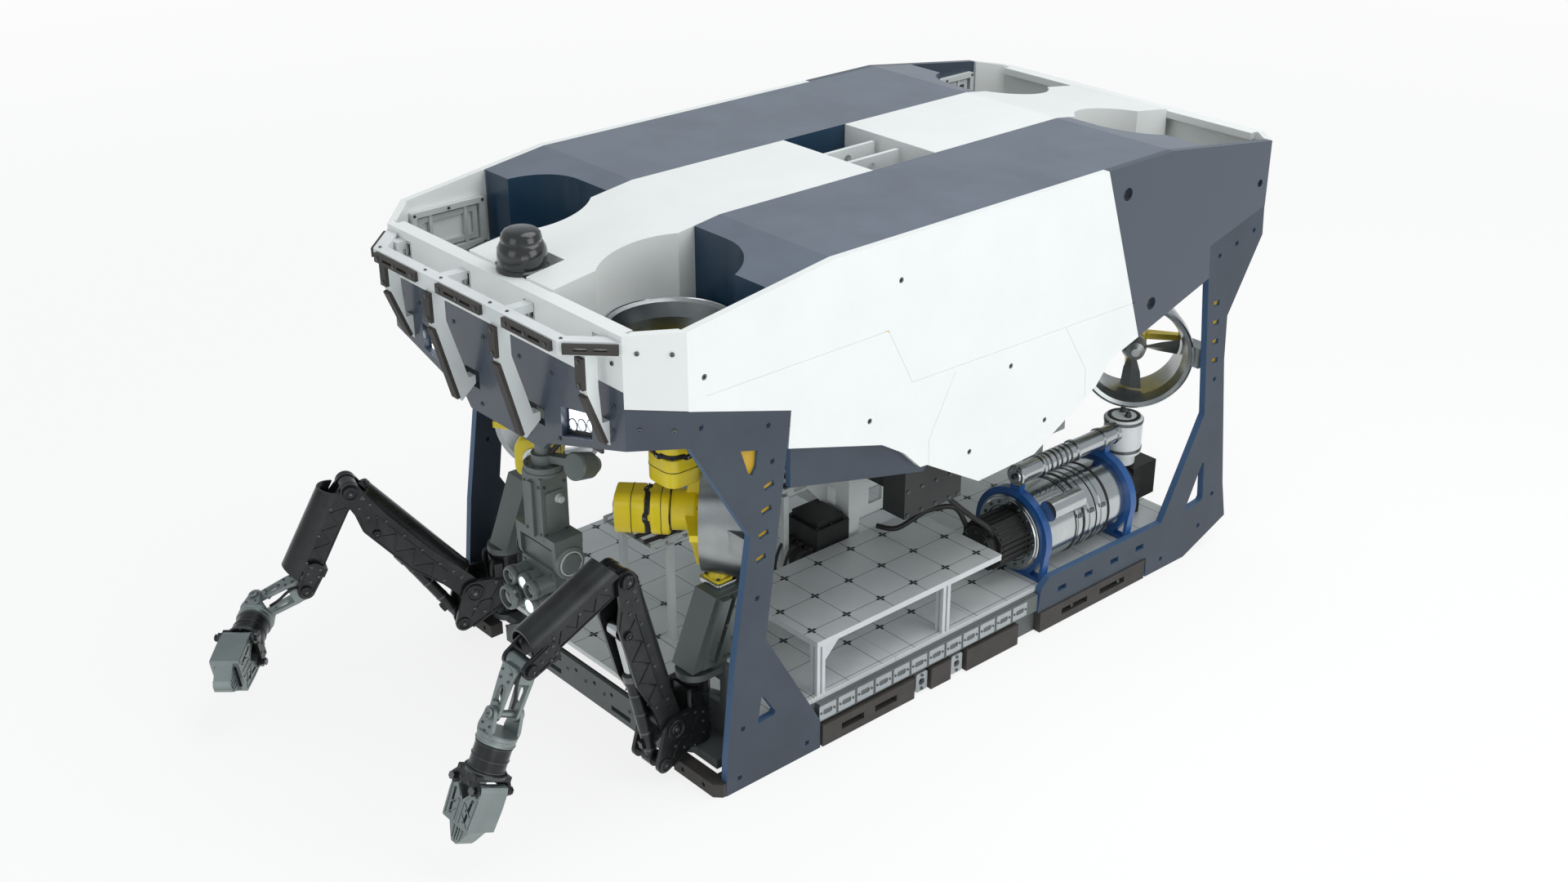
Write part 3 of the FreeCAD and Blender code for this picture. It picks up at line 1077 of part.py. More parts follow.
def manipulator(prefix, mount_x, pose):
    """All links of one arm in their rest pose, on the mount at the given place across the vehicle."""
    facing = -90 + pose["slew"]
    slew = math.radians(pose["slew"])
    shoulder_at = (mount_x + SLEW_OFFSET * math.sin(slew), MOUNT_Y - SLEW_OFFSET * math.cos(slew), SHOULDER[1])

    def level(vector):
        return FreeCAD.Rotation(Z_AXIS, facing).multVec(vector)

    def at(origin, forward, up):
        step = level(V(forward, 0, up))
        return (origin[0] + step.x, origin[1] + step.y, origin[2] + step.z)

    def polar(origin, length, degrees):
        turn = math.radians(degrees)
        return at(origin, length * math.cos(turn), length * math.sin(turn))

    def set_link(shape, origin, degrees):
        return placed(shape, origin, [(Y_AXIS, -degrees), (Z_AXIS, facing)])

    elbow_at = polar(shoulder_at, UPPER_LENGTH, pose["upper"])
    wrist_at = polar(elbow_at, FORE_LENGTH, pose["fore"])
    parts = {}
    parts["shoulder"] = set_link(shoulder(), shoulder_at, 0)
    parts["upper_arm"] = set_link(upper_arm(), shoulder_at, pose["upper"])
    foot = at(shoulder_at, *LIFT_FOOT)
    turn = math.radians(pose["upper"])
    head_u = LIFT_HEAD[0] * math.cos(turn) + LIFT_HEAD[1] * math.sin(turn) - LIFT_FOOT[0]
    head_w = LIFT_HEAD[0] * math.sin(turn) - LIFT_HEAD[1] * math.cos(turn) - LIFT_FOOT[1]
    lift_angle = math.degrees(math.atan2(head_w, head_u))
    parts["lift_barrel"] = set_link(lift_barrel(), foot, lift_angle)
    parts["lift_rod"] = set_link(lift_rod(math.hypot(head_u, head_w)), foot, lift_angle)
    parts["forearm"] = set_link(forearm(), elbow_at, pose["fore"])
    parts["wrist_pitch"] = set_link(wrist_pitch(), wrist_at, pose["wrist"])
    grip_at = polar(wrist_at, WRIST_LENGTH, pose["wrist"])
    yaw_turns = [(Z_AXIS, pose["yaw"]), (Y_AXIS, -pose["wrist"]), (Z_AXIS, facing)]
    parts["wrist_yaw"] = placed(wrist_yaw(), grip_at, yaw_turns)
    grip_turns = [(X_AXIS, pose["turn"])] + yaw_turns
    parts["gripper"] = placed(gripper(), grip_at, grip_turns)
    x, y = JAW_PIVOT
    near = jaw()
    near.translate(V(x, y, 0))
    parts["jaw_a"] = placed(near, grip_at, grip_turns)
    parts["jaw_b"] = placed(near.mirror(V(0, 0, 0), Y_AXIS), grip_at, grip_turns)
    return {prefix + "_" + name: shape for name, shape in parts.items()}


# All nodes

def build():
    nodes = {}
    for name, shape in (("side_panel", side_panel()), ("top_strip", top_strip()), ("front_leg", Part.makeCompound([front_leg(), leg_sill()])),
                        ("rear_leg", rear_leg())):
        nodes[name + "_port"] = shape
        nodes[name + "_starboard"] = mirrored(shape)
    nodes["centre_packs"] = centre_packs()
    nodes["nose_panel"] = nose_panel()
    nodes["front_corner_panels"] = both_sides(front_corner_panel())
    nodes["rear_panels"] = rear_panels()
    nodes["bumper_frame"] = bumper_frame()
    nodes["bumper_pads"] = bumper_pads()
    nodes["skid_frame"] = skid_frame()
    nodes["skid_pads"] = skid_pads()
    nodes["deck"] = deck()
    nodes["bench"] = bench()
    nodes["canisters"] = canisters()
    nodes["saddles"] = saddles()
    nodes["power_units"] = power_units()
    nodes["inner_frame"] = Part.makeCompound([inner_frame(), lift_plates()])
    nodes["bay_modules"] = bay_modules()
    nodes["nose_instruments"] = nose_instruments()
    nodes["front_lift_nozzles"] = lift_nozzles(("front_port_lift", "front_starboard_lift"))
    nodes["rear_lift_nozzles"] = lift_nozzles(("rear_port_lift", "rear_starboard_lift"))
    nodes["front_drive_nozzles"] = drive_nozzles(("front_port_drive", "front_starboard_drive"), VECTORED_FRONT, (-1180, -1110))
    nodes["rear_drive_nozzles"] = drive_nozzles(("rear_port_drive", "rear_starboard_drive"), VECTORED_REAR, (1318, 1392))
    nodes["thruster_pods"] = thruster_pods()
    for name, (origin, turns) in THRUSTERS.items():
        nodes["propeller_" + name] = placed(propeller(), origin, turns)
    nodes["camera_mast"] = camera_mast()
    nodes["camera_pan"] = camera_pan()
    nodes["camera_tilt"] = camera_tilt()
    nodes.update(manipulator("port", PORT_ARM_X, PORT_POSE))
    nodes.update(manipulator("starboard", -STARBOARD_ARM_X, STARBOARD_POSE))
    return nodes


os.makedirs("parts", exist_ok=True)
for node, shape in build().items():
    shape.exportStep("parts/" + node + ".step")
    print(node, len(shape.Solids), "solids", "valid" if shape.isValid() else "INVALID")
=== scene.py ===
"""Looks of an underwater inspection and work vehicle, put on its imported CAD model.

Everything is in metres: +Z up, the front looks along -Y, +X is the port side.
"""
import math

import bmesh
import bpy
from mathutils import Matrix, Vector


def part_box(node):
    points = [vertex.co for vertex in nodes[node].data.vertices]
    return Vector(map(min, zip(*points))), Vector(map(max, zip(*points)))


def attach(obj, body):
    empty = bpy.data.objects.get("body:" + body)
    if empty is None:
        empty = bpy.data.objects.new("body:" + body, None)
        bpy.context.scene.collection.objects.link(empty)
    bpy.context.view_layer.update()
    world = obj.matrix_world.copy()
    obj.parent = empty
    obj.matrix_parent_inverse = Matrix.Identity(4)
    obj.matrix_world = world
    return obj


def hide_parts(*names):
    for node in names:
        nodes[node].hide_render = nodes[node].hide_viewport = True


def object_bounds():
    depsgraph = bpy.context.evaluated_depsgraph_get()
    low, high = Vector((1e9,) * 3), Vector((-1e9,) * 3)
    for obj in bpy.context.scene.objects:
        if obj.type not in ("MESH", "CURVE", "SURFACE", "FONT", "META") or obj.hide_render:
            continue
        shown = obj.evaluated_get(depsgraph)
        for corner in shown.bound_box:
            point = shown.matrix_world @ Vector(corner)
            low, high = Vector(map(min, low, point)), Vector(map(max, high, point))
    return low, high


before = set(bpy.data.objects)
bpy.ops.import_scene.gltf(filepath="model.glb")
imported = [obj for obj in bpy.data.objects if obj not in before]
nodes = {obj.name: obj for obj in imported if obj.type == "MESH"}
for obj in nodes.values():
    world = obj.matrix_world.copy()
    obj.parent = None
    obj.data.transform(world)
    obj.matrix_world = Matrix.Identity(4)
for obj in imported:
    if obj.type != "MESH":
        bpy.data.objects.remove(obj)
cad_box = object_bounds()

# ---------------------------------------------------------------- Camera
# The camera stands off the front port corner, above the vehicle, and looks down at it.
# Its lens, place and turn were solved from the straight edges of the object.

camera_turn = math.radians(48.5734)
camera_rise = math.radians(26.1433)
camera_back = Vector((math.sin(camera_turn) * math.cos(camera_rise),
                      -math.cos(camera_turn) * math.cos(camera_rise),
                      math.sin(camera_rise)))
camera_right = Vector((math.cos(camera_turn), math.sin(camera_turn), 0))
camera_up = camera_back.cross(camera_right)
camera_lens = bpy.data.cameras.new("studio_camera")
camera_lens.sensor_width = 36
camera_lens.lens = 43.043
camera_lens.clip_end = 200
camera = bpy.data.objects.new("studio_camera", camera_lens)
camera_place = Matrix((camera_right, camera_up, camera_back)).transposed().to_4x4()
camera_place.translation = (5.092556, -4.783630, 4.109954)
camera.matrix_world = camera_place
bpy.context.scene.collection.objects.link(camera)
bpy.context.scene.camera = camera
bpy.context.scene.view_settings.view_transform = "Standard"

# ---------------------------------------------------------------- Floor and light
# A pale studio floor that runs far past the view. Near the vehicle it keeps the shadow, and farther off it
# fades to the white of the sky. One large soft lamp hangs overhead, with weaker ones to port and in front,
# and a low one that fills the open tool bay.


def linear(code):
    """The linear colour of an sRGB hex code."""
    parts = [int(code[i:i + 2], 16) / 255 for i in (1, 3, 5)]
    return tuple(p / 12.92 if p <= 0.04045 else ((p + 0.055) / 1.055) ** 2.4 for p in parts) + (1.0,)


def add(material, kind, settings=None, links=None):
    """Adds a node with its settings, and joins its named inputs to the outputs of other nodes."""
    node = material.node_tree.nodes.new(kind)
    for key, value in (settings or {}).items():
        if isinstance(key, int) or key in node.inputs:
            node.inputs[key].default_value = value
        else:
            setattr(node, key, value)
    for key, source in (links or {}).items():
        material.node_tree.links.new(source, node.inputs[key])
    return node


def empty_material(name):
    """A material with only its output."""
    material = bpy.data.materials.new(name)
    material.use_nodes = True
    material.node_tree.nodes.clear()
    return material


def keep(name, shape, *materials, body=None, slot=None):
    """Turns a finished bmesh into an object at the origin that wears the materials and rides a body."""
    mesh = bpy.data.meshes.new(name)
    bmesh.ops.remove_doubles(shape, verts=shape.verts, dist=1e-6)
    bmesh.ops.recalc_face_normals(shape, faces=shape.faces)
    shape.to_mesh(mesh)
    shape.free()
    for material in materials:
        mesh.materials.append(material)
    piece = bpy.data.objects.new(name, mesh)
    bpy.context.scene.collection.objects.link(piece)
    if body:
        mesh.set_sharp_from_angle(angle=math.radians(35))
        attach(piece, body)
    return piece


paper = empty_material("matt_paper")
seen = add(paper, "ShaderNodeLightPath")
mirrored_too = add(paper, "ShaderNodeMath", {"operation": "MAXIMUM"},
                   {0: seen.outputs["Is Camera Ray"], 1: seen.outputs["Is Glossy Ray"]})
paper_matt = add(paper, "ShaderNodeBsdfDiffuse", {"Color": linear("#F2F3F3")})
paper_white = add(paper, "ShaderNodeEmission", {"Color": (1, 1, 1, 1), "Strength": 1.0})
paper_place = add(paper, "ShaderNodeTexCoord")
paper_reach = add(paper, "ShaderNodeVectorMath", {"operation": "LENGTH"}, {0: paper_place.outputs["Object"]})
paper_fade = add(paper, "ShaderNodeMapRange", {"From Min": 4.0, "From Max": 16.0, "To Min": 0.82, "To Max": 1.0},
                 {"Value": paper_reach.outputs["Value"]})
paper_share = add(paper, "ShaderNodeMath", {"operation": "MULTIPLY"},
                  {0: mirrored_too.outputs[0], 1: paper_fade.outputs[0]})
paper_mix = add(paper, "ShaderNodeMixShader", {},
                {0: paper_share.outputs[0], 1: paper_matt.outputs[0], 2: paper_white.outputs[0]})
add(paper, "ShaderNodeOutputMaterial", {}, {"Surface": paper_mix.outputs[0]})

floor_radius, floor_centre, floor_drop = 60, 40, 0.0005
floor_shape = bmesh.new()
bmesh.ops.create_circle(floor_shape, cap_ends=True, radius=floor_radius, segments=96)
bmesh.ops.inset_region(floor_shape, faces=floor_shape.faces, thickness=floor_centre)
bmesh.ops.translate(floor_shape, verts=floor_shape.verts, vec=(0, 0, cad_box[0][2] - floor_drop))
floor = keep("studio_floor", floor_shape, paper)

sky = bpy.data.worlds.new("studio_sky")
sky.use_nodes = True
sky.node_tree.nodes.clear()
bpy.context.scene.world = sky
sky_seen = add(sky, "ShaderNodeLightPath")
sky_plain = add(sky, "ShaderNodeBackground", {"Color": linear("#E9EEF2"), "Strength": 0.62})
sky_white = add(sky, "ShaderNodeBackground", {"Color": (1, 1, 1, 1), "Strength": 1.0})
sky_mix = add(sky, "ShaderNodeMixShader", {},
              {0: sky_seen.outputs["Is Camera Ray"], 1: sky_plain.outputs[0], 2: sky_white.outputs[0]})
add(sky, "ShaderNodeOutputWorld", {}, {"Surface": sky_mix.outputs[0]})

lamps_aim = Vector((0, 0, 1.0))
for lamp_name, lamp_at, lamp_size, lamp_power in (
        ("overhead_lamp", (1.5, 1.5, 7.0), 6.0, 260),
        ("port_lamp", (8.0, 1.5, 3.6), 5.0, 168),
        ("front_lamp", (1.0, -8.5, 4.0), 4.0, 60),
        ("bay_fill_lamp", (5.0, -3.4, 0.9), 3.0, 42)):
    lamp = bpy.data.lights.new(lamp_name, "AREA")
    lamp.size = lamp_size
    lamp.energy = lamp_power
    lamp_object = bpy.data.objects.new(lamp_name, lamp)
    aim = lamps_aim - Vector(lamp_at)
    lamp_object.matrix_world = Matrix.Translation(lamp_at) @ aim.to_track_quat("-Z", "Y").to_matrix().to_4x4()
    bpy.context.scene.collection.objects.link(lamp_object)

# ---------------------------------------------------------------- Side panels
# One panel a side: syntactic foam under gelcoated glass fibre, moulded in sections that meet in fine joints,
# and screwed to the frame. The rear end is in the frame's navy. The joints are cut into a copy of the CAD
# panel, and the copy then stands in its place.


def coated(name, colour, shade, grain_mm, rough=(0.35, 0.5), metallic=0.0, bump=0.1, cloud_mm=260, coat=0.0):
    """A finish on Object coordinates: slow clouds of the second colour, and a fine grain in gloss and height."""
    material = empty_material(name)
    place = add(material, "ShaderNodeTexCoord")
    clouds = add(material, "ShaderNodeTexNoise", {"Scale": 1000 / cloud_mm, "Detail": 5.0, "Roughness": 0.6},
                 {"Vector": place.outputs["Object"]})
    tone = add(material, "ShaderNodeValToRGB", {}, {"Fac": clouds.outputs["Fac"]})
    tone.color_ramp.elements[0].position = 0.32
    tone.color_ramp.elements[0].color = linear(shade)
    tone.color_ramp.elements[1].position = 0.62
    tone.color_ramp.elements[1].color = linear(colour)
    grain = add(material, "ShaderNodeTexNoise", {"Scale": 1000 / grain_mm, "Detail": 3.0},
                {"Vector": place.outputs["Object"]})
    gloss = add(material, "ShaderNodeMapRange", {"To Min": rough[0], "To Max": rough[1]},
                {"Value": grain.outputs["Fac"]})
    height = add(material, "ShaderNodeBump", {"Strength": bump, "Distance": grain_mm / 4000},
                 {"Height": grain.outputs["Fac"]})
    shader = add(material, "ShaderNodeBsdfPrincipled",
                 {"Metallic": metallic, "Coat Weight": coat, "Coat Roughness": 0.15},
                 {"Base Color": tone.outputs["Color"], "Roughness": gloss.outputs["Result"],
                  "Normal": height.outputs["Normal"]})
    add(material, "ShaderNodeOutputMaterial", {}, {"Surface": shader.outputs["BSDF"]})
    return material


def split_by(material, normal, limit, other, joint_mm=1.5):
    """Beyond the plane normal . place = limit the finish takes another colour, with a dark joint between."""
    tree = material.node_tree
    shader = next(n for n in tree.nodes if n.type == "BSDF_PRINCIPLED")
    first = shader.inputs["Base Color"].links[0].from_socket
    place = next(n for n in tree.nodes if n.type == "TEX_COORD")
    reach = add(material, "ShaderNodeVectorMath", {"operation": "DOT_PRODUCT", 1: normal},
                {0: place.outputs["Object"]})
    beyond = add(material, "ShaderNodeMath", {"operation": "GREATER_THAN", 1: limit}, {0: reach.outputs["Value"]})
    near = add(material, "ShaderNodeMath", {"operation": "COMPARE", 1: limit, 2: joint_mm / 1000},
               {0: reach.outputs["Value"]})
    both = add(material, "ShaderNodeMix", {"data_type": "RGBA", 7: linear(other)},
               {0: beyond.outputs[0], 6: first})
    joint = add(material, "ShaderNodeMix", {"data_type": "RGBA", 7: linear("#20252B")},
                {0: near.outputs[0], 6: both.outputs[2]})
    tree.links.new(joint.outputs[2], shader.inputs["Base Color"])


def dress(material, *names):
    """Puts a finish on CAD nodes through their objects' material slots."""
    for name in names:
        for slot in nodes[name].material_slots:
            slot.material = material


MM = Matrix.Scale(0.001, 4)


def axes(at, x, y, z):
    """A frame in millimetres at a point, with the given directions as its axes."""
    turn = Matrix((Vector(x).normalized(), Vector(y).normalized(), Vector(z).normalized())).transposed().to_4x4()
    return Matrix.Translation(at) @ turn


def facing(at, out):
    """A frame at a point whose Z looks out along a direction."""
    return Matrix.Translation(at) @ Vector(out).to_track_quat("Z", "Y").to_matrix().to_4x4()


def join(shape, part, frame_at, skin=0):
    """Sets a finished part, drawn in millimetres, into its frame and adds it to a piece."""
    bmesh.ops.transform(part, matrix=MM @ frame_at, verts=part.verts)
    for face in part.faces:
        face.material_index = skin
        face.smooth = True
    mesh = bpy.data.meshes.new("part")
    part.to_mesh(mesh)
    part.free()
    shape.from_mesh(mesh)
    bpy.data.meshes.remove(mesh)


def turned(shape, frame_at, profile, steps=32, skin=0):
    """A (radius, height) profile spun about the frame's Z."""
    part = bmesh.new()
    points = [part.verts.new((radius, 0, height)) for radius, height in profile]
    edges = [part.edges.new(pair) for pair in zip(points, points[1:])]
    bmesh.ops.spin(part, geom=points + edges, cent=(0, 0, 0), axis=(0, 0, 1), angle=math.tau, steps=steps,
                   use_merge=True)
    bmesh.ops.remove_doubles(part, verts=part.verts, dist=1e-3)
    join(shape, part, frame_at, skin)


def plate(shape, frame_at, outline, depth, edge=0.0, skin=0):
    """An outline in the frame's XY, extruded along Z, with its edges rounded."""
    part = bmesh.new()
    face = part.faces.new([part.verts.new((x, y, 0)) for x, y in outline])
    made = bmesh.ops.extrude_face_region(part, geom=[face])["geom"]
    bmesh.ops.translate(part, verts=[g for g in made if isinstance(g, bmesh.types.BMVert)], vec=(0, 0, depth))
    if edge:
        bmesh.ops.bevel(part, geom=part.edges[:], offset=edge, offset_type="OFFSET", segments=2, affect="EDGES",
                        profile=0.5, material=-1)
    join(shape, part, frame_at, skin)


def bar(start, end, width):
    """The outline of a straight bar between two points."""
    a, b = Vector(start), Vector(end)
    side = (b - a).normalized().orthogonal() * width / 2
    return [tuple(a - side), tuple(b - side), tuple(b + side), tuple(a + side)]


def screws(shape, frames, radius, skin=0, steps=12):
    """Socket head screws, each on the Z of its frame, with a turned recess."""
    profile = [(0, 0.25), (0.42, 0.25), (0.5, 0.62), (0.88, 0.62), (1.0, 0.5), (1.0, 0)]
    for frame_at in frames:
        turned(shape, frame_at, [(radius * r, radius * h) for r, h in profile], steps, skin)


white = "#E9ECEA"
navy = "#34404F"
# Passivated stainless steel, painted darker than the metal as painted shade, so that each screw head reads as a small
# shaded dot.
screw_steel = coated("passivated_steel", "#6B6F70", "#5A5E60", 0.5, (0.25, 0.4), 0.9, 0.05)
# Near-black rough paint: painted shade in slots, recesses and openings, where hardly any light comes back out, and the
# black of bands, seals, latch plates and connectors.
black_and_recess_shade = coated("shaded_recess", "#14171A", "#101214", 0.8, (0.6, 0.8), bump=0.05)
# White gelcoat with a navy end: hard and smooth, with a soft clear gloss and faint clouds from the mould.
side_gelcoat = coated("side_gelcoat", white, "#E6E9E7", 3.0, (0.32, 0.42), bump=0.05, coat=0.3)
# The colours meet on a straight line in the panel's plane, from (849, 1187) at the keel to (585, 1926) on top.
seam_y, seam_z = 585 - 849, 1926 - 1187
seam_length = math.hypot(seam_y, seam_z)
seam_normal = (0.0, seam_z / seam_length, -seam_y / seam_length)
split_by(side_gelcoat, seam_normal, (0.585 * seam_z - 1.926 * seam_y) / seam_length, navy)
dress(side_gelcoat, "side_panel_port", "side_panel_starboard")

panel_face = 850
panel_lines = (((-1370, 1600), (-558, 1600)), ((-558, 1600), (-433, 1368)), ((-433, 1368), (808, 1342)),
               ((-334, 1002), (-338, 1105)), ((-338, 1105), (-211, 1343)), ((393, 1349), (530, 1135)),
               ((530, 1135), (539, 1012)))
groove_width, groove_depth, cutter_proud = 3.2, 1.8, 2
# Six small screws sit on the counterbores' floors in the white, and three large washers with their bolts in the
# navy end carry the panel on the rear leg.
small_screws = ((-1377, 1668), (-502, 1772), (-639, 1279), (91, 1277), (-116, 988), (305, 987))
small_radius, small_sunk = 10.6, 9
large_bolts = ((1571, 1665, 15.8), (706, 1810, 25.8), (912, 1310, 25.8))
large_sunk = 20
for side_name, out in (("port", 1), ("starboard", -1)):
    marks = bmesh.new()
    for start, end in panel_lines:
        plate(marks, axes((out * (panel_face - groove_depth), 0, 0), (0, 1, 0), (0, 0, 1), (out, 0, 0)),
              bar(start, end, groove_width), groove_depth + cutter_proud)
    cutter = keep("panel_cutter", marks)
    panel_shape = bmesh.new()
    panel_shape.from_mesh(nodes[f"side_panel_{side_name}"].data)
    panel = keep(f"{side_name}_side_moulding", panel_shape, side_gelcoat, black_and_recess_shade, slot="white_foam")
    carve = panel.modifiers.new("carve", "BOOLEAN")
    carve.operation, carve.object, carve.solver, carve.use_self = "DIFFERENCE", cutter, "EXACT", True
    bpy.context.view_layer.update()
    carved = bpy.data.meshes.new_from_object(panel.evaluated_get(bpy.context.evaluated_depsgraph_get()))
    panel.modifiers.clear()
    panel.data = carved
    bpy.data.objects.remove(cutter)
    for face in carved.polygons:
        face.use_smooth = False
    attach(panel, "base")
    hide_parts(f"side_panel_{side_name}")
    heads = bmesh.new()
    screws(heads, [facing((out * (panel_face - small_sunk), y, z), (out, 0, 0)) for y, z in small_screws],
           small_radius)
    for y, z, size in large_bolts:
        turned(heads, facing((out * (panel_face - large_sunk), y, z), (out, 0, 0)),
               [(0, 0), (size * 0.5, 0), (size * 0.6, 6), (size, 6), (size, 0)], 28)
    keep(f"{side_name}_panel_screws", heads, screw_steel, body="base", slot="steel")

# ---------------------------------------------------------------- Panel marker
# A small square of yellow sheet, set flush into the port panel at the corner of its forward joint.
# It is plain, and only the port panel has one.

# Yellow inlay: satin, and a little warmer than the thrusters' enamel.
marker_yellow = coated("marker_inlay", "#D8B23A", "#CDA631", 2.0, (0.4, 0.5), bump=0.02)
marker = bmesh.new()
plate(marker, axes((848.9, 0, 0), (0, 1, 0), (0, 0, 1), (1, 0, 0)),
      [(-570, 1590), (-546, 1590), (-546, 1616), (-570, 1616)], 1.0, 0.2)
keep("port_panel_marker", marker, marker_yellow, body="base", slot="yellow_paint")

# ---------------------------------------------------------------- Top strips and centre packs
# The strips along both edges and the packs between them are the same gelcoated foam, bolted down from above.
# The strips are navy, painted paler on their tops as painted sheen, and their upright well walls take a deep blue as
# painted shade. The packs are white throughout.


def by_direction(material, axis, steep, other, limits=None):
    """Faces whose normal leans less than steep to an axis take another colour, inside limits of |x| if given."""
    tree = material.node_tree
    shader = next(n for n in tree.nodes if n.type == "BSDF_PRINCIPLED")
    first = shader.inputs["Base Color"].links[0].from_socket
    place = next(n for n in tree.nodes if n.type == "TEX_COORD")
    lean = add(material, "ShaderNodeVectorMath", {"operation": "DOT_PRODUCT", 1: axis}, {0: place.outputs["Normal"]})
    size = add(material, "ShaderNodeMath", {"operation": "ABSOLUTE"}, {0: lean.outputs["Value"]})
    chosen = add(material, "ShaderNodeMath", {"operation": "LESS_THAN", 1: steep}, {0: size.outputs[0]}).outputs[0]
    if limits:
        apart = add(material, "ShaderNodeSeparateXYZ", {}, {0: place.outputs["Object"]})
        reach = add(material, "ShaderNodeMath", {"operation": "ABSOLUTE"}, {0: apart.outputs["X"]})
        inside = add(material, "ShaderNodeMath", {"operation": "COMPARE", 1: sum(limits) / 2,
                                                  2: (limits[1] - limits[0]) / 2}, {0: reach.outputs[0]})
        chosen = add(material, "ShaderNodeMath", {"operation": "MULTIPLY"},
                     {0: chosen, 1: inside.outputs[0]}).outputs[0]
    both = add(material, "ShaderNodeMix", {"data_type": "RGBA", 7: linear(other)}, {0: chosen, 6: first})
    tree.links.new(both.outputs[2], shader.inputs["Base Color"])


# White gelcoat: as on the side panels, without their navy end.
gelcoat = coated("white_gelcoat", white, "#E5E8E6", 3.0, (0.32, 0.42), bump=0.05, coat=0.3)
# Navy gelcoat, glossier than the white. Its colour is painted paler on the flat tops as painted sheen, and dark on the
# upright walls as painted shade.
strip_sheen_and_shade = coated("navy_gelcoat_painted_light", "#566170", "#4C5665", 3.0, (0.3, 0.4), bump=0.05, coat=0.4)
# Upright faces from 0.25 to 0.81 m out take a deep blue: painted shade on the well walls.
by_direction(strip_sheen_and_shade, (0, 0, 1), 0.3, "#06304A", (0.25, 0.81))
dress(strip_sheen_and_shade, "top_strip_port", "top_strip_starboard")
dress(gelcoat, "centre_packs")

# ---------------------------------------------------------------- Nose, front corners and rear beam
# Gelcoated panels close the ends. The nose and its two corner panels are white above and navy below, and
# the colours meet in a straight joint. The rear beam and its corners are plain white.

# Navy gelcoat with a white top: the joint stands 59 mm lower on the corners than on the nose.
nose_paint = coated("nose_gelcoat", navy, "#2F3A48", 3.0, (0.34, 0.44), bump=0.05, coat=0.3)
split_by(nose_paint, (0, 0, 1), 1.626, white)
dress(nose_paint, "nose_panel")
corner_paint = coated("corner_gelcoat", navy, "#2F3A48", 3.0, (0.34, 0.44), bump=0.05, coat=0.3)
split_by(corner_paint, (0, 0, 1), 1.567, white)
dress(corner_paint, "front_corner_panels")
dress(gelcoat, "rear_panels")

# ---------------------------------------------------------------- Nose windows
# Four square cut-outs in the nose each have a near-black plate behind a white painted frame, as painted shade in the
# opening, and an upright white bracket with two screws that a line can be clipped to.


def rounded(width, height, radius, steps=4):
    """The outline of a rectangle with round corners, about its centre."""
    points = []
    for quarter, (sx, sy) in enumerate(((1, 1), (-1, 1), (-1, -1), (1, -1))):
        for i in range(steps + 1):
            turn = math.radians(90 * (quarter + i / steps))
            points.append((sx * (width / 2 - radius) + radius * math.cos(turn),
                           sy * (height / 2 - radius) + radius * math.sin(turn)))
    return points


def ring_plate(shape, frame_at, outer, inner, depth, skin=0):
    """A flat ring between two outlines with as many points each, extruded along Z."""
    part = bmesh.new()
    loops = []
    for line in (outer, inner):
        points = [part.verts.new((x, y, 0)) for x, y in line]
        loops += [part.edges.new(pair) for pair in zip(points, points[1:] + points[:1])]
    bmesh.ops.bridge_loops(part, edges=loops)
    made = bmesh.ops.extrude_face_region(part, geom=part.faces[:])["geom"]
    bmesh.ops.translate(part, verts=[g for g in made if isinstance(g, bmesh.types.BMVert)], vec=(0, 0, depth))
    join(shape, part, frame_at, skin)


# White painted brackets: slightly greyer and rougher than the gelcoat behind them.
white_bracket = coated("white_bracket_paint", "#C9CECD", "#BDC2C1", 1.0, (0.4, 0.5), bump=0.1)
forward = ((1, 0, 0), (0, 0, 1), (0, -1, 0))
window_height, window_size = 1755, 56
fittings = bmesh.new()
for x in (-579, -193, 193, 579):
    plate(fittings, axes((x, -1574, window_height), *forward), rounded(window_size + 4, window_size + 8, 3), 4, 0.4, 1)
    ring_plate(fittings, axes((x, -1576, window_height), *forward), rounded(window_size, window_size + 4, 3),
               rounded(window_size - 9, window_size - 5, 2), 14)
    plate(fittings, axes((x - 14, -1577, window_height - 29), *forward), [(0, 0), (7, 0), (7, 58), (0, 58)], 10, 0.6)
    screws(fittings, [facing((x + 14, -1576, window_height + dz), (0, -1, 0)) for dz in (-18, 18)], 5)
keep("nose_window_brackets", fittings, white_bracket, black_and_recess_shade, body="base", slot="white_metal")

# ---------------------------------------------------------------- Nose screws
# Stainless screws hold the nose to its frame in two rows, with a few in the navy skirt below, and four
# hold each corner panel. Their heads stand on the gelcoat.

nose_rows = [(x, z) for x in (-650, -530, -300, -110, 110, 300, 530, 650) for z in (1712, 1560)]
skirt_screws = [(-640, 1470), (640, 1470), (-330, 1330), (330, 1330), (-150, 1290), (150, 1290)]
head_radius = 8
heads = bmesh.new()
screws(heads, [facing((x, -1590, z), (0, -1, 0)) for x, z in nose_rows + skirt_screws], head_radius)
corner_out = Vector((1, -1, 0)).normalized()
for side in (1, -1):
    out = Vector((side * corner_out.x, corner_out.y, 0))
    sideways = Vector((side * corner_out.x, -corner_out.y, 0))
    middle = Vector((side * 777, -1517, 0))
    for step, z in ((-56, 1764), (56, 1764), (-56, 1497), (56, 1497)):
        screws(heads, [facing(middle + sideways * step + Vector((0, 0, z)), out)], head_radius)
keep("nose_screws", heads, screw_steel, body="base", slot="steel")

# ---------------------------------------------------------------- Skirt lamps
# A slanted recess in each half of the navy skirt holds three round lamps in steel bezels. They are on, and a plate of
# soft emission behind them is painted light: the lamps' glow on their recess.

# Lit lens: plain emission, strong enough to burn out to white.
lamp_light = empty_material("lamp_glow")
glow = add(lamp_light, "ShaderNodeEmission", {"Color": linear("#F4F8FF"), "Strength": 9.0})
add(lamp_light, "ShaderNodeOutputMaterial", {}, {"Surface": glow.outputs[0]})
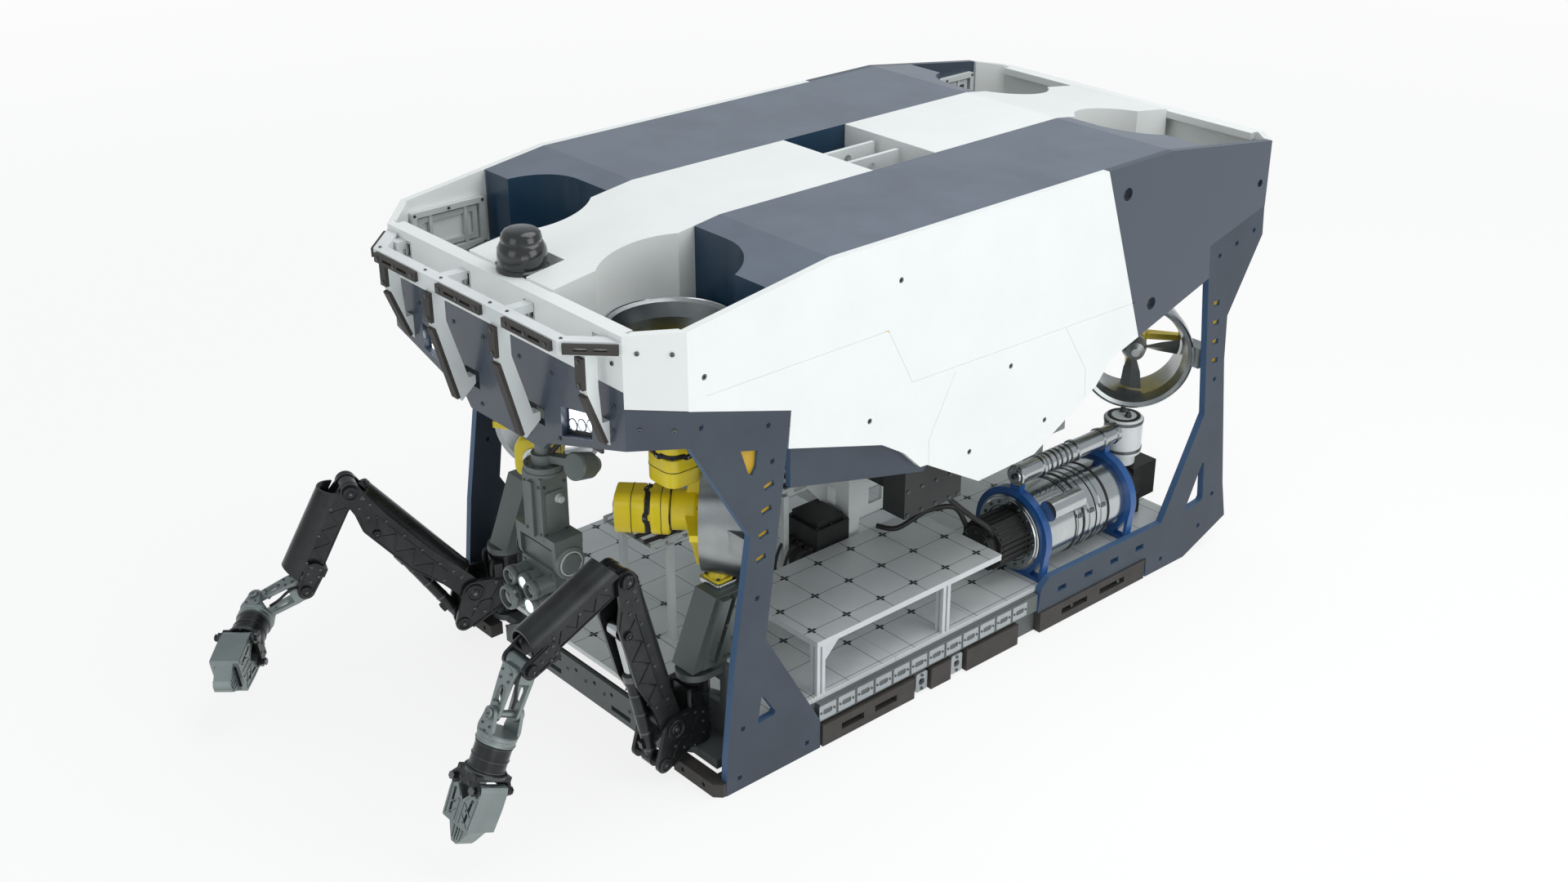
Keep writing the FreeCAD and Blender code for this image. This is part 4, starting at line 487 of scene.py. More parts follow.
# Painted light: the lamps' glow on the recess, a softer, faintly blue emission behind the lenses.
lamp_spill_light = empty_material("painted_lamp_spill")
soft_glow = add(lamp_spill_light, "ShaderNodeEmission", {"Color": linear("#EDF3FF"), "Strength": 2.6})
add(lamp_spill_light, "ShaderNodeOutputMaterial", {}, {"Surface": soft_glow.outputs[0]})
lamps = bmesh.new()
for side in (1, -1):
    for x, z in ((380, 1392), (432, 1408), (484, 1424)):
        lens = facing((side * x, -1562, z), (0, -1, 0))
        turned(lamps, lens, [(0, 3), (16, 3), (19, 0)], 24, 1)
        turned(lamps, lens, [(19, 0), (19, 7), (23, 7), (24, 0)], 24, 0)
    plate(lamps, axes((side * 432, -1562, 1414), *forward), [(-76, -46), (76, -10), (76, 54), (-76, 26)], 2, 0.5, 2)
keep("nose_lamps", lamps, screw_steel, lamp_light, lamp_spill_light, body="base", slot="steel")

# ---------------------------------------------------------------- Well liners
# Pressed white frames stiffen the inner faces of the side panels in the four corner wells: an outer ring,
# a smaller ring inside it and two uprights, screwed along the top and bottom.

liners = bmesh.new()
for side in (1, -1):
    for near, far in ((-1436, -1116), (1236, 1596)):
        middle, reach = (near + far) / 2, far - near
        inward = axes((side * 819.6, middle, 1700), (0, 1, 0), (0, 0, 1), (-side, 0, 0))
        ring_plate(liners, inward, rounded(reach, 190, 8), rounded(reach - 44, 146, 6), 26)
        ring_plate(liners, inward, rounded(reach - 60, 130, 6), rounded(reach - 100, 90, 6), 14)
        for x in (-reach * 0.24, reach * 0.24):
            plate(liners, inward @ Matrix.Translation((x, 0, 0)), rounded(14, 144, 2), 20, 1)
        screws(liners, [inward @ Matrix.Translation((x, z, 26))
                        for x in (-reach / 2 + 11, 0, reach / 2 - 11) for z in (-84, 84)], 6, 1)
keep("well_inner_frames", liners, white_bracket, screw_steel, body="base", slot="white_metal")

# ---------------------------------------------------------------- Rear hatches
# Three hatches in the rear beam, each a black sealing frame with screws at its corners and a recessed
# black latch plate.

hatch_face, hatch_height = 1747, 1605
backward = ((1, 0, 0), (0, 0, 1), (0, 1, 0))
latches = bmesh.new()
for x in (-430, 0, 430):
    ring_plate(latches, axes((x, hatch_face, hatch_height), *backward), rounded(360, 170, 16),
               rounded(330, 140, 10), 6)
    plate(latches, axes((x - 40, hatch_face, hatch_height - 26), *backward), rounded(120, 44, 10), 9, 1.5)
    screws(latches, [facing((x + dx, hatch_face + 6, hatch_height + dz), (0, 1, 0))
                     for dx in (-172, 172) for dz in (-77, 77)], 6)
keep("rear_beam_latches", latches, black_and_recess_shade, body="base", slot="black_metal")

# ---------------------------------------------------------------- Bumper
# A hoop and four hanging arms of welded aluminium, powder coated white and bolted through the nose.
# Rubber pads are screwed to its face. The same rubber pads run along the skid's sides.

# Powder coated aluminium: satin white with a fine orange peel.
white_metal = coated("white_powder_coat", "#DDE1E0", "#CFD4D3", 1.2, (0.4, 0.55), bump=0.12)
# Moulded rubber: dark, warm and rough, with a grain drawn at 1.5 mm so that it shows.
rubber = coated("moulded_rubber", "#3E3B38", "#33312F", 1.5, (0.6, 0.8), bump=0.3, cloud_mm=90)
dress(white_metal, "bumper_frame")
dress(rubber, "bumper_pads", "skid_pads")

heads = bmesh.new()
for x in (-400, 0, 400):
    screws(heads, [facing((x + step, -1749, 1777), (0, -1, 0)) for step in (-112, -4, 112)], 7)
for x, y in ((-600, -1687), (-200, -1749), (200, -1749), (600, -1687)):
    screws(heads, [facing((x, y, z), (0, -1, 0)) for z in (1646, 1728)], 7)
for x in (-550, -250, -150, 150, 250, 550):
    screws(heads, [facing((x, -1712, 1800), (0, 0, 1))], 6)
keep("bumper_screws", heads, screw_steel, body="base", slot="steel")

# ---------------------------------------------------------------- Legs
# Four legs cut from thick aluminium plate, powder coated navy and bolted to the panels above and the skid
# below. Amber plates behind the slots and the window of each leg show through them.

# Navy powder coat: satin. The cut edges round the plate catch more sky, so they are given a lighter blue.
frame_paint = coated("navy_powder_coat", "#333E4B", "#2C3642", 1.2, (0.42, 0.55), bump=0.12)
by_direction(frame_paint, (1, 0, 0), 0.4, "#3E5C7E")
dress(frame_paint, "front_leg_port", "front_leg_starboard", "rear_leg_port", "rear_leg_starboard")
# Amber acrylic backing: smooth and satin.
amber = coated("amber_backing", "#C9A227", "#B8921F", 1.0, (0.35, 0.5), bump=0.04)
leg_bolts = ((-1396, 1495), (-1110, 1413), (-1093, 1274), (-1164, 767), (-1234, 256), (-926, 52), (-1252, 52),
             (1345, 1404), (1455, 1431), (1568, 1462), (1402, 833), (1479, 257), (1400, 125), (1147, 51))
rail_screws = ((480, 215), (700, 215), (930, 215), (1090, 215), (-1010, 1380), (-1060, 1120), (-1130, 660))
backing_outlines = ([(-1076, 1220), (-1136, 1220), (-1178, 890), (-1112, 890)],
                    [(1332, 1220), (1388, 1220), (1422, 890), (1360, 890)],
                    [(-1240, 1366), (-1150, 1346), (-1152, 1262), (-1200, 1240)])
backing_depth = 834
backing = bmesh.new()
heads = bmesh.new()
for side in (1, -1):
    for outline in backing_outlines:
        plate(backing, axes((side * backing_depth, 0, 0), (0, 1, 0), (0, 0, 1), (side, 0, 0)), outline, 3.5, 0.8)
    screws(heads, [facing((side * 838, y, z), (side, 0, 0)) for y, z in leg_bolts], 10.5)
    screws(heads, [facing((side * 846, y, z), (side, 0, 0)) for y, z in rail_screws], 6)
keep("leg_slot_backing", backing, amber, body="base", slot="yellow_paint")
keep("leg_screws", heads, screw_steel, body="base", slot="steel")

# ---------------------------------------------------------------- Skid
# A welded frame of aluminium channel, powder coated grey. A pale anodised strip with rounded windows runs
# along each side between the legs, and two pad eyes hang below it, all screwed on.

# Grey powder coat: satin, with a fine orange peel.
skid_paint = coated("grey_powder_coat", "#5C6161", "#4F5454", 1.2, (0.42, 0.58), bump=0.15)
dress(skid_paint, "skid_frame")
# Pale anodising: a soft metal sheen, lighter than the frame behind it.
channel_paint = coated("pale_channel_anodise", "#A9AFB1", "#989EA0", 0.8, (0.35, 0.5), 0.5, 0.08)
window_pitch = 96
channel = bmesh.new()
for side in (1, -1):
    outward = ((0, 1, 0), (0, 0, 1), (side, 0, 0))
    for y in range(-820, 330, window_pitch):
        ring_plate(channel, axes((side * 844, y, 147), *outward), rounded(84, 62, 6), rounded(46, 22, 8), 3)
        screws(channel, [facing((side * 847, y + dy, 147), (side, 0, 0)) for dy in (-33, 33)], 5, 1)
    for y in (-318, -122):
        ring_plate(channel, axes((side * 826, y, 52), *outward), rounded(62, 84, 10), rounded(30, 30, 12), 16)
        screws(channel, [facing((side * 842, y, 52 + dz), (side, 0, 0)) for dz in (-30, 30)], 7, 1)
keep("skid_side_channel", channel, channel_paint, screw_steel, body="base", slot="grey_metal")

heads = bmesh.new()
for side in (1, -1):
    screws(heads, [facing((side * 846, y, 50), (side, 0, 0)) for y in (-820, -612, -404, 390, 560, 860, 1000)], 8)
screws(heads, [facing((x, -1316, 72), (0, -1, 0)) for x in (-540, -280, -120, 0, 120, 280)], 7)
screws(heads, [facing((x, -1316, 104), (0, -1, 0)) for x in (-430, 430)], 7)
keep("skid_screws", heads, screw_steel, body="base", slot="steel")

# ---------------------------------------------------------------- Deck and bench
# Clear anodised plates lie on the skid and on the raised bench, with milled grooves on a square grid.
# A screw in a small cross-shaped recess holds the plates at each place where two grooves meet; the recess is drawn as
# a thin near-black star, painted shade.


def grid_lines(material, first_x, first_y, pitch, width, colour):
    """Dark grooves on a grid, on faces that look up. The sizes are in metres."""
    tree = material.node_tree
    shader = next(n for n in tree.nodes if n.type == "BSDF_PRINCIPLED")
    first = shader.inputs["Base Color"].links[0].from_socket
    place = next(n for n in tree.nodes if n.type == "TEX_COORD")
    apart = add(material, "ShaderNodeSeparateXYZ", {}, {0: place.outputs["Object"]})
    up = add(material, "ShaderNodeSeparateXYZ", {}, {0: place.outputs["Normal"]})
    level = add(material, "ShaderNodeMath", {"operation": "GREATER_THAN", 1: 0.9}, {0: up.outputs["Z"]})
    lines = []
    for axis, start in (("X", first_x), ("Y", first_y)):
        shifted = add(material, "ShaderNodeMath", {"operation": "SUBTRACT", 1: start}, {0: apart.outputs[axis]})
        off = add(material, "ShaderNodeMath", {"operation": "PINGPONG", 1: pitch / 2}, {0: shifted.outputs[0]})
        lines.append(add(material, "ShaderNodeMath", {"operation": "LESS_THAN", 1: width / 2}, {0: off.outputs[0]}))
    either = add(material, "ShaderNodeMath", {"operation": "MAXIMUM"},
                 {0: lines[0].outputs[0], 1: lines[1].outputs[0]})
    chosen = add(material, "ShaderNodeMath", {"operation": "MULTIPLY"},
                 {0: either.outputs[0], 1: level.outputs[0]})
    both = add(material, "ShaderNodeMix", {"data_type": "RGBA", 7: linear(colour)},
               {0: chosen.outputs[0], 6: first})
    tree.links.new(both.outputs[2], shader.inputs["Base Color"])


# Clear anodised plate: pale grey, with little metal in its sheen because it lies in the body's shade.
anodised = coated("clear_anodised_aluminium", "#D6DADA", "#C9CECE", 0.9, (0.34, 0.5), 0.2, 0.06)
grid_lines(anodised, 0.796, -1.036, 0.175, 0.0026, "#2B2E2F")
dress(anodised, "deck")
# The bench stands in the light and shows more of the metal.
bench_plate = coated("bench_anodised_aluminium", "#CDD1D2", "#C2C7C8", 0.9, (0.34, 0.5), 0.3, 0.06)
grid_lines(bench_plate, 0.388, -0.806, 0.176, 0.0026, "#2B2E2F")
dress(bench_plate, "bench")

half, arm = 5, 19
star = [(half, half), (half, arm), (-half, arm), (-half, half), (-arm, half), (-arm, -half), (-half, -half),
        (-half, -arm), (half, -arm), (half, -half), (arm, -half), (arm, half)]
deck_height, deck_pitch, bench_height, bench_pitch = 205, 175, 437, 176
arm_mounts, mount_clear, deck_half = ((584, -1238), (-640, -1238)), 190, 780
spots = []
for i in range(10):
    for k in range(-1, 14):
        x, y = 796 - deck_pitch * i, -1036 + deck_pitch * k
        clear = all(math.hypot(x - mount_x, y - mount_y) > mount_clear for mount_x, mount_y in arm_mounts)
        if clear and abs(x) < deck_half and (k >= 0 or abs(x) <= 380):
            spots.append((x, y, deck_height))
spots += [(388 + bench_pitch * i, -806 + bench_pitch * k, bench_height) for i in range(3) for k in range(6)]
fixings = bmesh.new()
for x, y, z in spots:
    plate(fixings, axes((x, y, z), (1, 0, 0), (0, 1, 0), (0, 0, 1)), star, 1.2, 0.3)
    turned(fixings, facing((x, y, z), (0, 0, 1)), [(0, 1.0), (3.4, 1.0), (4.4, 2.2), (7.5, 2.2), (8.5, 1.2)], 12, 1)
keep("deck_fixings", fixings, black_and_recess_shade, screw_steel, body="base", slot="black_metal")

# ---------------------------------------------------------------- Large canister
# A polished steel pressure canister lies in two blue enamelled saddles. Clamp bands go round it, and each
# end cap has a raised flange with a ring of bolts.


def bolt_circle(frame_at, radius, height, count, first=0.0):
    """The frames of bolts that stand evenly on a circle about the frame's Z."""
    turns = [math.tau * (k + first) / count for k in range(count)]
    return [frame_at @ Matrix.Translation((radius * math.cos(t), radius * math.sin(t), height)) for t in turns]


# Polished steel: bright and sharp, it mirrors the saddles and the deck.
polished = coated("polished_steel", "#C2C6C7", "#B0B5B6", 0.6, (0.12, 0.24), 1.0, 0.03)
dress(polished, "canisters")
# Blue enamel: deep and glossy under a clear coat.
blue_paint = coated("blue_enamel", "#124E8C", "#0E427A", 2.0, (0.3, 0.42), bump=0.06, coat=0.3)
dress(blue_paint, "saddles")

canister_x, canister_z, canister_radius = 640, 378, 165
trim = bmesh.new()
for y, depth in ((604, 4), (650, 12), (732, 4), (805, 12)):
    turned(trim, facing((canister_x, y, canister_z), (0, 1, 0)),
           [(canister_radius, 0), (canister_radius + 2.5, 0.6), (canister_radius + 2.5, depth),
            (canister_radius, depth + 0.6)], 64, 1)
for y, out in ((378, -1), (967, 1)):
    face_at = facing((canister_x, y, canister_z), (0, out, 0))
    turned(trim, face_at, [(0, 5), (118, 5), (122, 9), (150, 9), (154, 5), (160, 5), (163, 0)], 64)
    screws(trim, bolt_circle(face_at, 136, 9, 16), 7, 2)
for turn in (18, 162):
    out = Vector((math.cos(math.radians(turn)), 0, math.sin(math.radians(turn))))
    for y in (632, 704, 776):
        plate(trim, axes(Vector((canister_x, y - 14, canister_z)) + out * 168, (0, 1, 0), out.cross((0, 1, 0)), out),
              [(0, -9), (28, -9), (28, 9), (0, 9)], 6, 1.2, 2)
keep("canister_bands", trim, polished, black_and_recess_shade, screw_steel, body="base", slot="steel")

# ---------------------------------------------------------------- Slim canister
# A slim canister lies above the large one, bound by narrow rolled steel rings. Its ends are turned caps
# with a black connector in the middle.

slim_x, slim_z, sleeve_radius = 648, 637, 45.5
ring_starts, ring_width = (536, 564, 597.6, 625.6, 659.2, 687.2), 5.6
sleeve = bmesh.new()
for y in ring_starts:
    ring_at = axes((slim_x, y, slim_z), (0, 0, 1), (1, 0, 0), (0, 1, 0))
    made = bmesh.ops.create_circle(sleeve, cap_ends=False, radius=sleeve_radius, segments=20, matrix=ring_at)
    rim = {edge for v in made["verts"] for edge in v.link_edges}
    made = bmesh.ops.extrude_edge_only(sleeve, edges=list(rim))["geom"]
    bmesh.ops.translate(sleeve, verts=[g for g in made if isinstance(g, bmesh.types.BMVert)], vec=(0, ring_width, 0))
bmesh.ops.scale(sleeve, verts=sleeve.verts, vec=(0.001, 0.001, 0.001))
sleeve_piece = keep("slim_canister_sleeve", sleeve, screw_steel, body="base", slot="steel")
wall = sleeve_piece.modifiers.new("wall", "SOLIDIFY")
wall.thickness = 0.0016
ends = bmesh.new()
for y, out in ((395, -1), (1000, 1)):
    cap_at = facing((slim_x, y, slim_z), (0, out, 0))
    turned(ends, cap_at, [(0, 12), (26, 12), (30, 8), (42, 8), (47, 4), (47, -14), (42, -14)], 32)
    turned(ends, cap_at, [(0, 24), (9, 24), (11, 20), (11, 11)], 16, 1)
keep("slim_canister_ends", ends, polished, black_and_recess_shade, body="base", slot="steel")

# ---------------------------------------------------------------- Electric motor
# The motor in front of the large canister is a black anodised casting with rows of cooling fins, a bolted
# end bell and two hoses that run up to the electronics.


def hose(shape, points, radius, sides=10, skin=0):
    """A round tube on a smooth path through points in millimetres, drawn ring by ring."""
    points = [Vector(p) for p in points]
    path = []
    for i in range(len(points) - 1):
        before, a = points[max(i - 1, 0)], points[i]
        b, after = points[i + 1], points[min(i + 2, len(points) - 1)]
        for step in range(6):
            t = step / 6
            path.append(0.5 * ((2 * a) + (b - before) * t + (2 * before - 5 * a + 4 * b - after) * t ** 2
                               + (3 * a - before - 3 * b + after) * t ** 3))
    path.append(points[-1])
    part = bmesh.new()
    side = (path[1] - path[0]).orthogonal().normalized()
    for i, point in enumerate(path):
        ahead = (path[min(i + 1, len(path) - 1)] - path[max(i - 1, 0)]).normalized()
        side = (side - ahead * side.dot(ahead)).normalized()
        ring_at = axes(point, ahead.cross(side), side, -ahead)
        if i == 0:
            bmesh.ops.create_circle(part, cap_ends=True, radius=radius, segments=sides, matrix=ring_at)
            edges = part.edges[:]
        else:
            made = bmesh.ops.extrude_edge_only(part, edges=edges)["geom"]
            new = {g for g in made if isinstance(g, bmesh.types.BMVert)}
            bmesh.ops.transform(part, matrix=ring_at @ last_at.inverted(), verts=list(new))
            edges = [e for e in part.edges if e.verts[0] in new and e.verts[1] in new]
        last_at = ring_at
    bmesh.ops.contextual_create(part, geom=edges)
    join(shape, part, Matrix.Identity(4), skin)


# Black anodised aluminium: soft and even, a little lighter than the rubber beside it.
black_anodised = coated("black_anodised_aluminium", "#2B2B2A", "#222221", 0.8, (0.38, 0.55), 0.4, 0.1)
dress(black_anodised, "power_units")
motor_at = facing((canister_x, 178, canister_z), (0, -1, 0))
fin_count, fin_length = 8, 140
motor_trim = bmesh.new()
for k in range(fin_count):
    turn = math.tau * k / fin_count
    out = Vector((math.cos(turn), 0, math.sin(turn)))
    aside = out.cross((0, 1, 0))
    for step in (-26, 0, 26):
        fin_at = Vector((canister_x, 226, canister_z)) + out * 103 + aside * step
        plate(motor_trim, axes(fin_at, (0, 1, 0), aside, out),
              [(0, -4), (fin_length, -4), (fin_length, 4), (0, 4)], 6, 1)
turned(motor_trim, facing((canister_x, 186, canister_z), (0, -1, 0)),
       [(0, 10), (22, 10), (26, 4), (60, 4), (64, 8), (80, 8), (84, 0)], 40)
screws(motor_trim, [facing((canister_x + 72 * math.cos(math.tau * k / 8), 178,
                            canister_z + 72 * math.sin(math.tau * k / 8)), (0, -1, 0)) for k in range(8)], 6, 1)
hose(motor_trim, [(560, 205, 440), (520, 170, 520), (470, 60, 520), (430, -60, 470), (360, -110, 470)], 11)
hose(motor_trim, [(700, 210, 450), (720, 150, 520), (700, 60, 600), (640, -20, 690)], 11)
keep("motor_fins", motor_trim, black_anodised, screw_steel, body="base", slot="black_metal")

# ---------------------------------------------------------------- Compensator
# A white painted oil compensator stands behind the large canister on a turned base. Steel bands clamp it,
# and two hose fittings rise from its lid.

# White enamel: smooth and cool, a shade darker than the gelcoat.
white_can = coated("white_compensator_paint", "#D6DAD9", "#C9CECC", 1.0, (0.3, 0.45), bump=0.05)
can = bmesh.new()
can_at = facing((634, 1085, 524), (0, 0, 1))
turned(can, can_at, [(46, -56), (60, -52), (62, -4), (82, 0), (82, 156), (76, 162), (30, 166), (0, 166)], 48)
for height in (12, 140):
    turned(can, can_at @ Matrix.Translation((0, 0, height)), [(82, 0), (85, 1), (85, 13), (82, 14)], 48, 1)
for x, y in ((612, 1103), (660, 1079)):
    turned(can, facing((x, y, 686), (0, 0, 1)),
           [(0, 32), (6, 32), (7, 22), (11, 22), (11, 12), (15, 12), (15, 0)], 12, 1)
keep("compensator_can", can, white_can, screw_steel, body="base", slot="white_plastic")

# ---------------------------------------------------------------- Electronics and valve boxes
# Black anodised housings hang under the packs and stand on the deck, and the valve packs stand behind the
# arms' mounts. The lids are screwed down, and turned connectors and hoses leave the lower faces.

# Black anodising at the back of the bay. On the boxes ahead of the 1 m line, which stand in the light, it turns mid
# grey: painted light.
bay_box_paint_and_light = coated("module_anodise_painted_light", "#2E2F2F", "#252626", 0.8, (0.36, 0.5), 0.4, 0.1)
split_by(bay_box_paint_and_light, (0, -1, 0), 1.0, "#666E6C", 0.1)
dress(bay_box_paint_and_light, "bay_modules")
dress(white_metal, "inner_frame")

boxes = bmesh.new()
screws(boxes, [facing((690, y, z), (1, 0, 0)) for y in (-272, -196, -120, -44, 4) for z in (708, 808, 906)], 7)
for y in (-240, -160, -80):
    turned(boxes, facing((630, y, 694), (0, 0, -1)), [(0, 16), (12, 16), (14, 10), (20, 10), (22, 0)], 20, 1)
screws(boxes, [facing((x, y, 515), (0, 0, 1)) for x in (124, 286) for y in (-364, -292, -220)], 7)
for x in (150, 205, 260):
    turned(boxes, facing((x, -378, 420), (0, -1, 0)), [(0, 22), (11, 22), (13, 16), (19, 16), (21, 0)], 20, 1)
    hose(boxes, [(x, -395, 420), (x, -440, 410), (x + 10, -480, 330), (x + 20, -470, 215)], 7, 8, 1)
for side in (1, -1):
    lid_screws = ((-1256, 430), (-1128, 430), (-1048, 660), (-1148, 660))
    screws(boxes, [facing((side * 650, y, z), (side, 0, 0)) for y, z in lid_screws], 6)
    for k in range(4):
        screws(boxes, [facing((side * 676, y + 37 * k, 452 + 62 * k), (side, 0, 0)) for y in (-1232, -1170)], 6)
keep("module_fittings", boxes, screw_steel, black_anodised, body="base", slot="steel")

# ---------------------------------------------------------------- Cable tray
# A slim white tray of perforated strips and cross bars carries four hoses from the turret back to the boxes.
# It stands on four square posts that are screwed to the deck through foot plates.

tray_height, tray_half = 640, 150
tray = bmesh.new()
for x in (-tray_half, tray_half):
    for k in range(9):
        ring_plate(tray, axes((x, -1040 + 100 * k, tray_height), (0, 1, 0), (0, 0, 1), (1, 0, 0)), rounded(100, 36, 2),
                   rounded(64, 16, 6), 4)
level = ((1, 0, 0), (0, 1, 0), (0, 0, 1))
for k in range(12):
    plate(tray, axes((0, -1070 + 78 * k, tray_height - 14), *level), rounded(300, 22, 3), 5, 1)
for x in (-90, -30, 40, 96):
    hose(tray, [(x, -1080, 642), (x + 8, -900, 640), (x - 6, -700, 641), (x + 4, -480, 640), (x, -300, 641),
                (x, -200, 620)], 9, 10, 1)
deck_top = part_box("deck")[1][2] * 1000
for x in (-tray_half, tray_half):
    for y in (-1000, -420):
        plate(tray, axes((x, y, deck_top), *level), rounded(28, 28, 4), tray_height - 8 - deck_top, 1)
        plate(tray, axes((x, y, deck_top), *level), rounded(64, 64, 8), 6, 1)
for y in (-940, -700, -460):
    plate(tray, axes((0, y, tray_height + 8), *level), rounded(260, 14, 3), 4, 1, 2)
for x in (-tray_half, tray_half):
    plate(tray, axes((x, -240, 480), (0, 1, 0), (0, 0, 1), (1, 0, 0)), [(-60, 142), (50, 142), (50, 20)], 4, 0.8)
keep("cable_tray", tray, white_bracket, rubber, screw_steel, body="base", slot="white_metal")

# ---------------------------------------------------------------- Nose instruments and dome
# Dark housings under the nose, and a black moulded dome on top of it that covers a sensor. A flange with a
# ring of small screws holds the dome.

# Dark anodised housing: satin.
instrument = coated("instrument_housing", "#3A3B3A", "#303130", 0.8, (0.35, 0.5), 0.3, 0.1)
dress(instrument, "nose_instruments")

# Glossy black plastic: smooth enough to carry the overhead lamp as a soft streak.
dome_black = coated("dome_housing", "#2A2C2D", "#222425", 3.0, (0.16, 0.24), 0.2, 0.04, coat=0.5)
dome_at = facing((0, -1478, 1806), (0, 0, 1))
dome = bmesh.new()
turned(dome, dome_at, [(84, 2), (90, 4), (92, 10), (92, 22), (86, 28), (82, 30), (82, 34), (86, 46), (87, 70),
                       (84, 92), (76, 108), (70, 114), (70, 120), (72, 124), (68, 140), (58, 153), (46, 158),
                       (0, 160)], 56)
screws(dome, bolt_circle(dome_at, 87, 24, 8), 4, 1)
keep("nose_dome_housing", dome, dome_black, screw_steel, body="base", slot="black_plastic")

# ---------------------------------------------------------------- Thrusters
# Four thrusters in the corner wells push up and down, and four lower ones are set at 45 degrees. Each has a
# spun steel nozzle, a yellow motor pod on struts and a cast propeller. Dark clamp bands hold the pods,
# and bright rings edge the nozzles.

# Spun steel: brushed round the axis, bright and slightly rough.
nozzle_steel = coated("brushed_steel", "#A5A9AA", "#8E9394", 0.5, (0.2, 0.36), 1.0, 0.05)
dress(nozzle_steel, "front_lift_nozzles", "rear_lift_nozzles", "front_drive_nozzles", "rear_drive_nozzles")
# Yellow enamel: clean and glossy.
yellow_paint = coated("yellow_enamel", "#EFD820", "#E2C81C", 2.0, (0.3, 0.45), bump=0.06, coat=0.2)
dress(yellow_paint, "thruster_pods")
# Cast aluminium, machined: greyer and rougher than the nozzles.
cast_metal = coated("cast_aluminium", "#9DA1A1", "#8B8F8F", 2.0, (0.3, 0.5), 0.85, 0.15)
dress(cast_metal, *[n for n in nodes if n.startswith("propeller_")])

thrusters = []
for side in (1, -1):
    thrusters.append((facing((side * 430, -1180, 1560), (0, 0, 1)), 365, True))
    thrusters.append((facing((side * 400, 1290, 1560), (0, 0, 1)), 245, True))
    thrusters.append((facing((side * 556, -1014, 940), (side, 1, 0)), 310, False))
    thrusters.append((facing((side * 556, 1215, 940), (side, -1, 0)), 310, False))
pod_trim = bmesh.new()
for frame_at, length, lifts in thrusters:
    foot = -110 - length
    for height, wide in ((foot + 96, 20), (foot + 190, 8)):
        turned(pod_trim, frame_at @ Matrix.Translation((0, 0, height)),
               [(76, 0), (80, 1), (80, wide - 1), (76, wide)], 40, 0)
    turned(pod_trim, frame_at @ Matrix.Translation((0, 0, foot)) @ Matrix.Rotation(math.pi, 4, "X"),
           [(0, 16), (30, 16), (34, 11), (46, 11), (50, 0)], 32, 1)
    band = frame_at @ Matrix.Translation((0, 0, foot + 106))
    for k in range(8):
        out = Vector((math.cos(math.tau * k / 8), math.sin(math.tau * k / 8), 0))
        screws(pod_trim, [band @ facing(out * 79.5, out)], 6, 1)
    turned(pod_trim, frame_at @ Matrix.Translation((0, 0, 110)), [(227, -6), (231, 3), (238, -4), (241, -22)], 72, 1)
    if lifts:
        screws(pod_trim, bolt_circle(frame_at, 256, 0, 12, 0.5), 7, 1)
keep("thruster_clamps", pod_trim, black_and_recess_shade, polished, body="base", slot="black_metal")

# ---------------------------------------------------------------- Front motor covers and struts
# The front motors have square cast covers, enamelled yellow and split by dark seals. The lower ones stand on
# bell-shaped cast feet with a bolted steel cap.

struts = bmesh.new()
for side in (1, -1):
    base_at = facing((side * 560, -1100, 684), (0, 0, 1))
    plate(struts, base_at, rounded(112, 96, 14), 18, 2, 1)
    plate(struts, base_at @ Matrix.Translation((0, 0, 18)), rounded(92, 78, 16), 10, 2)
    screws(struts, [base_at @ Matrix.Translation((x, y, 28)) for x in (-34, 34) for y in (-28, 28)], 7, 2)
    turned(struts, base_at @ Matrix.Translation((0, 0, 28)),
           [(36, 0), (30, 14), (27, 40), (26, 90), (30, 130), (34, 150)], 32)
    flange_at = facing((side * 478, -1092, 940), (-side, -1, 0))
    turned(struts, flange_at, [(60, -4), (92, -4), (94, -2), (94, 12), (92, 14), (77, 14)], 48)
    screws(struts, bolt_circle(flange_at, 86, 14, 12), 5.5, 2)
for frame_at, length, _ in thrusters[0::2]:
    foot = -110 - length
    for start, deep, wide in ((-6, 112, 158), (124, 70, 162)):
        plate(struts, frame_at @ Matrix.Translation((0, 0, foot + start)), rounded(wide, wide, 44), deep, 9)
        plate(struts, frame_at @ Matrix.Translation((0, 0, foot + start + deep * 0.55)),
              rounded(wide + 2, wide + 2, 45), 2.4, 0, 3)
    plate(struts, frame_at @ Matrix.Translation((0, 0, foot + 108)), rounded(150, 150, 40), 14, 1, 3)
    screws(struts, [frame_at @ Matrix.Translation((x, y, foot + 106)) for x in (-62, 62) for y in (-62, 62)], 7, 2)
keep("front_drive_struts", struts, yellow_paint, polished, screw_steel, black_and_recess_shade, body="base",
     slot="yellow_paint")

# ---------------------------------------------------------------- Mesh guard
# A bowed guard of woven steel wire closes the mouth of the front port nozzle. The real mesh is finer: at
# this pitch of 10.5 mm it still shows as wires in the picture.

guard_cells, guard_radius, guard_bow = 44, 232, 46
guard = bmesh.new()
bmesh.ops.create_grid(guard, x_segments=guard_cells, y_segments=guard_cells, size=guard_radius)
outside = [f for f in guard.faces if any(math.hypot(v.co.x, v.co.y) > guard_radius + 1e-3 for v in f.verts)]
bmesh.ops.delete(guard, geom=outside, context="FACES")
for v in guard.verts:
    v.co.z = 112 + guard_bow * (1 - (v.co.x ** 2 + v.co.y ** 2) / guard_radius ** 2)
bmesh.ops.transform(guard, matrix=MM @ thrusters[2][0], verts=guard.verts)
guard_piece = keep("front_port_mesh_guard", guard, screw_steel, body="base", slot="steel")
wires = guard_piece.modifiers.new("wires", "WIREFRAME")
wires.thickness = 0.0022
wires.use_replace = True

# ---------------------------------------------------------------- Camera cluster
# The turret is cast aluminium, hard anodised grey. Its tilting cluster carries three cameras and two lamps in
# round hooded bezels, screwed to the front of the housing.

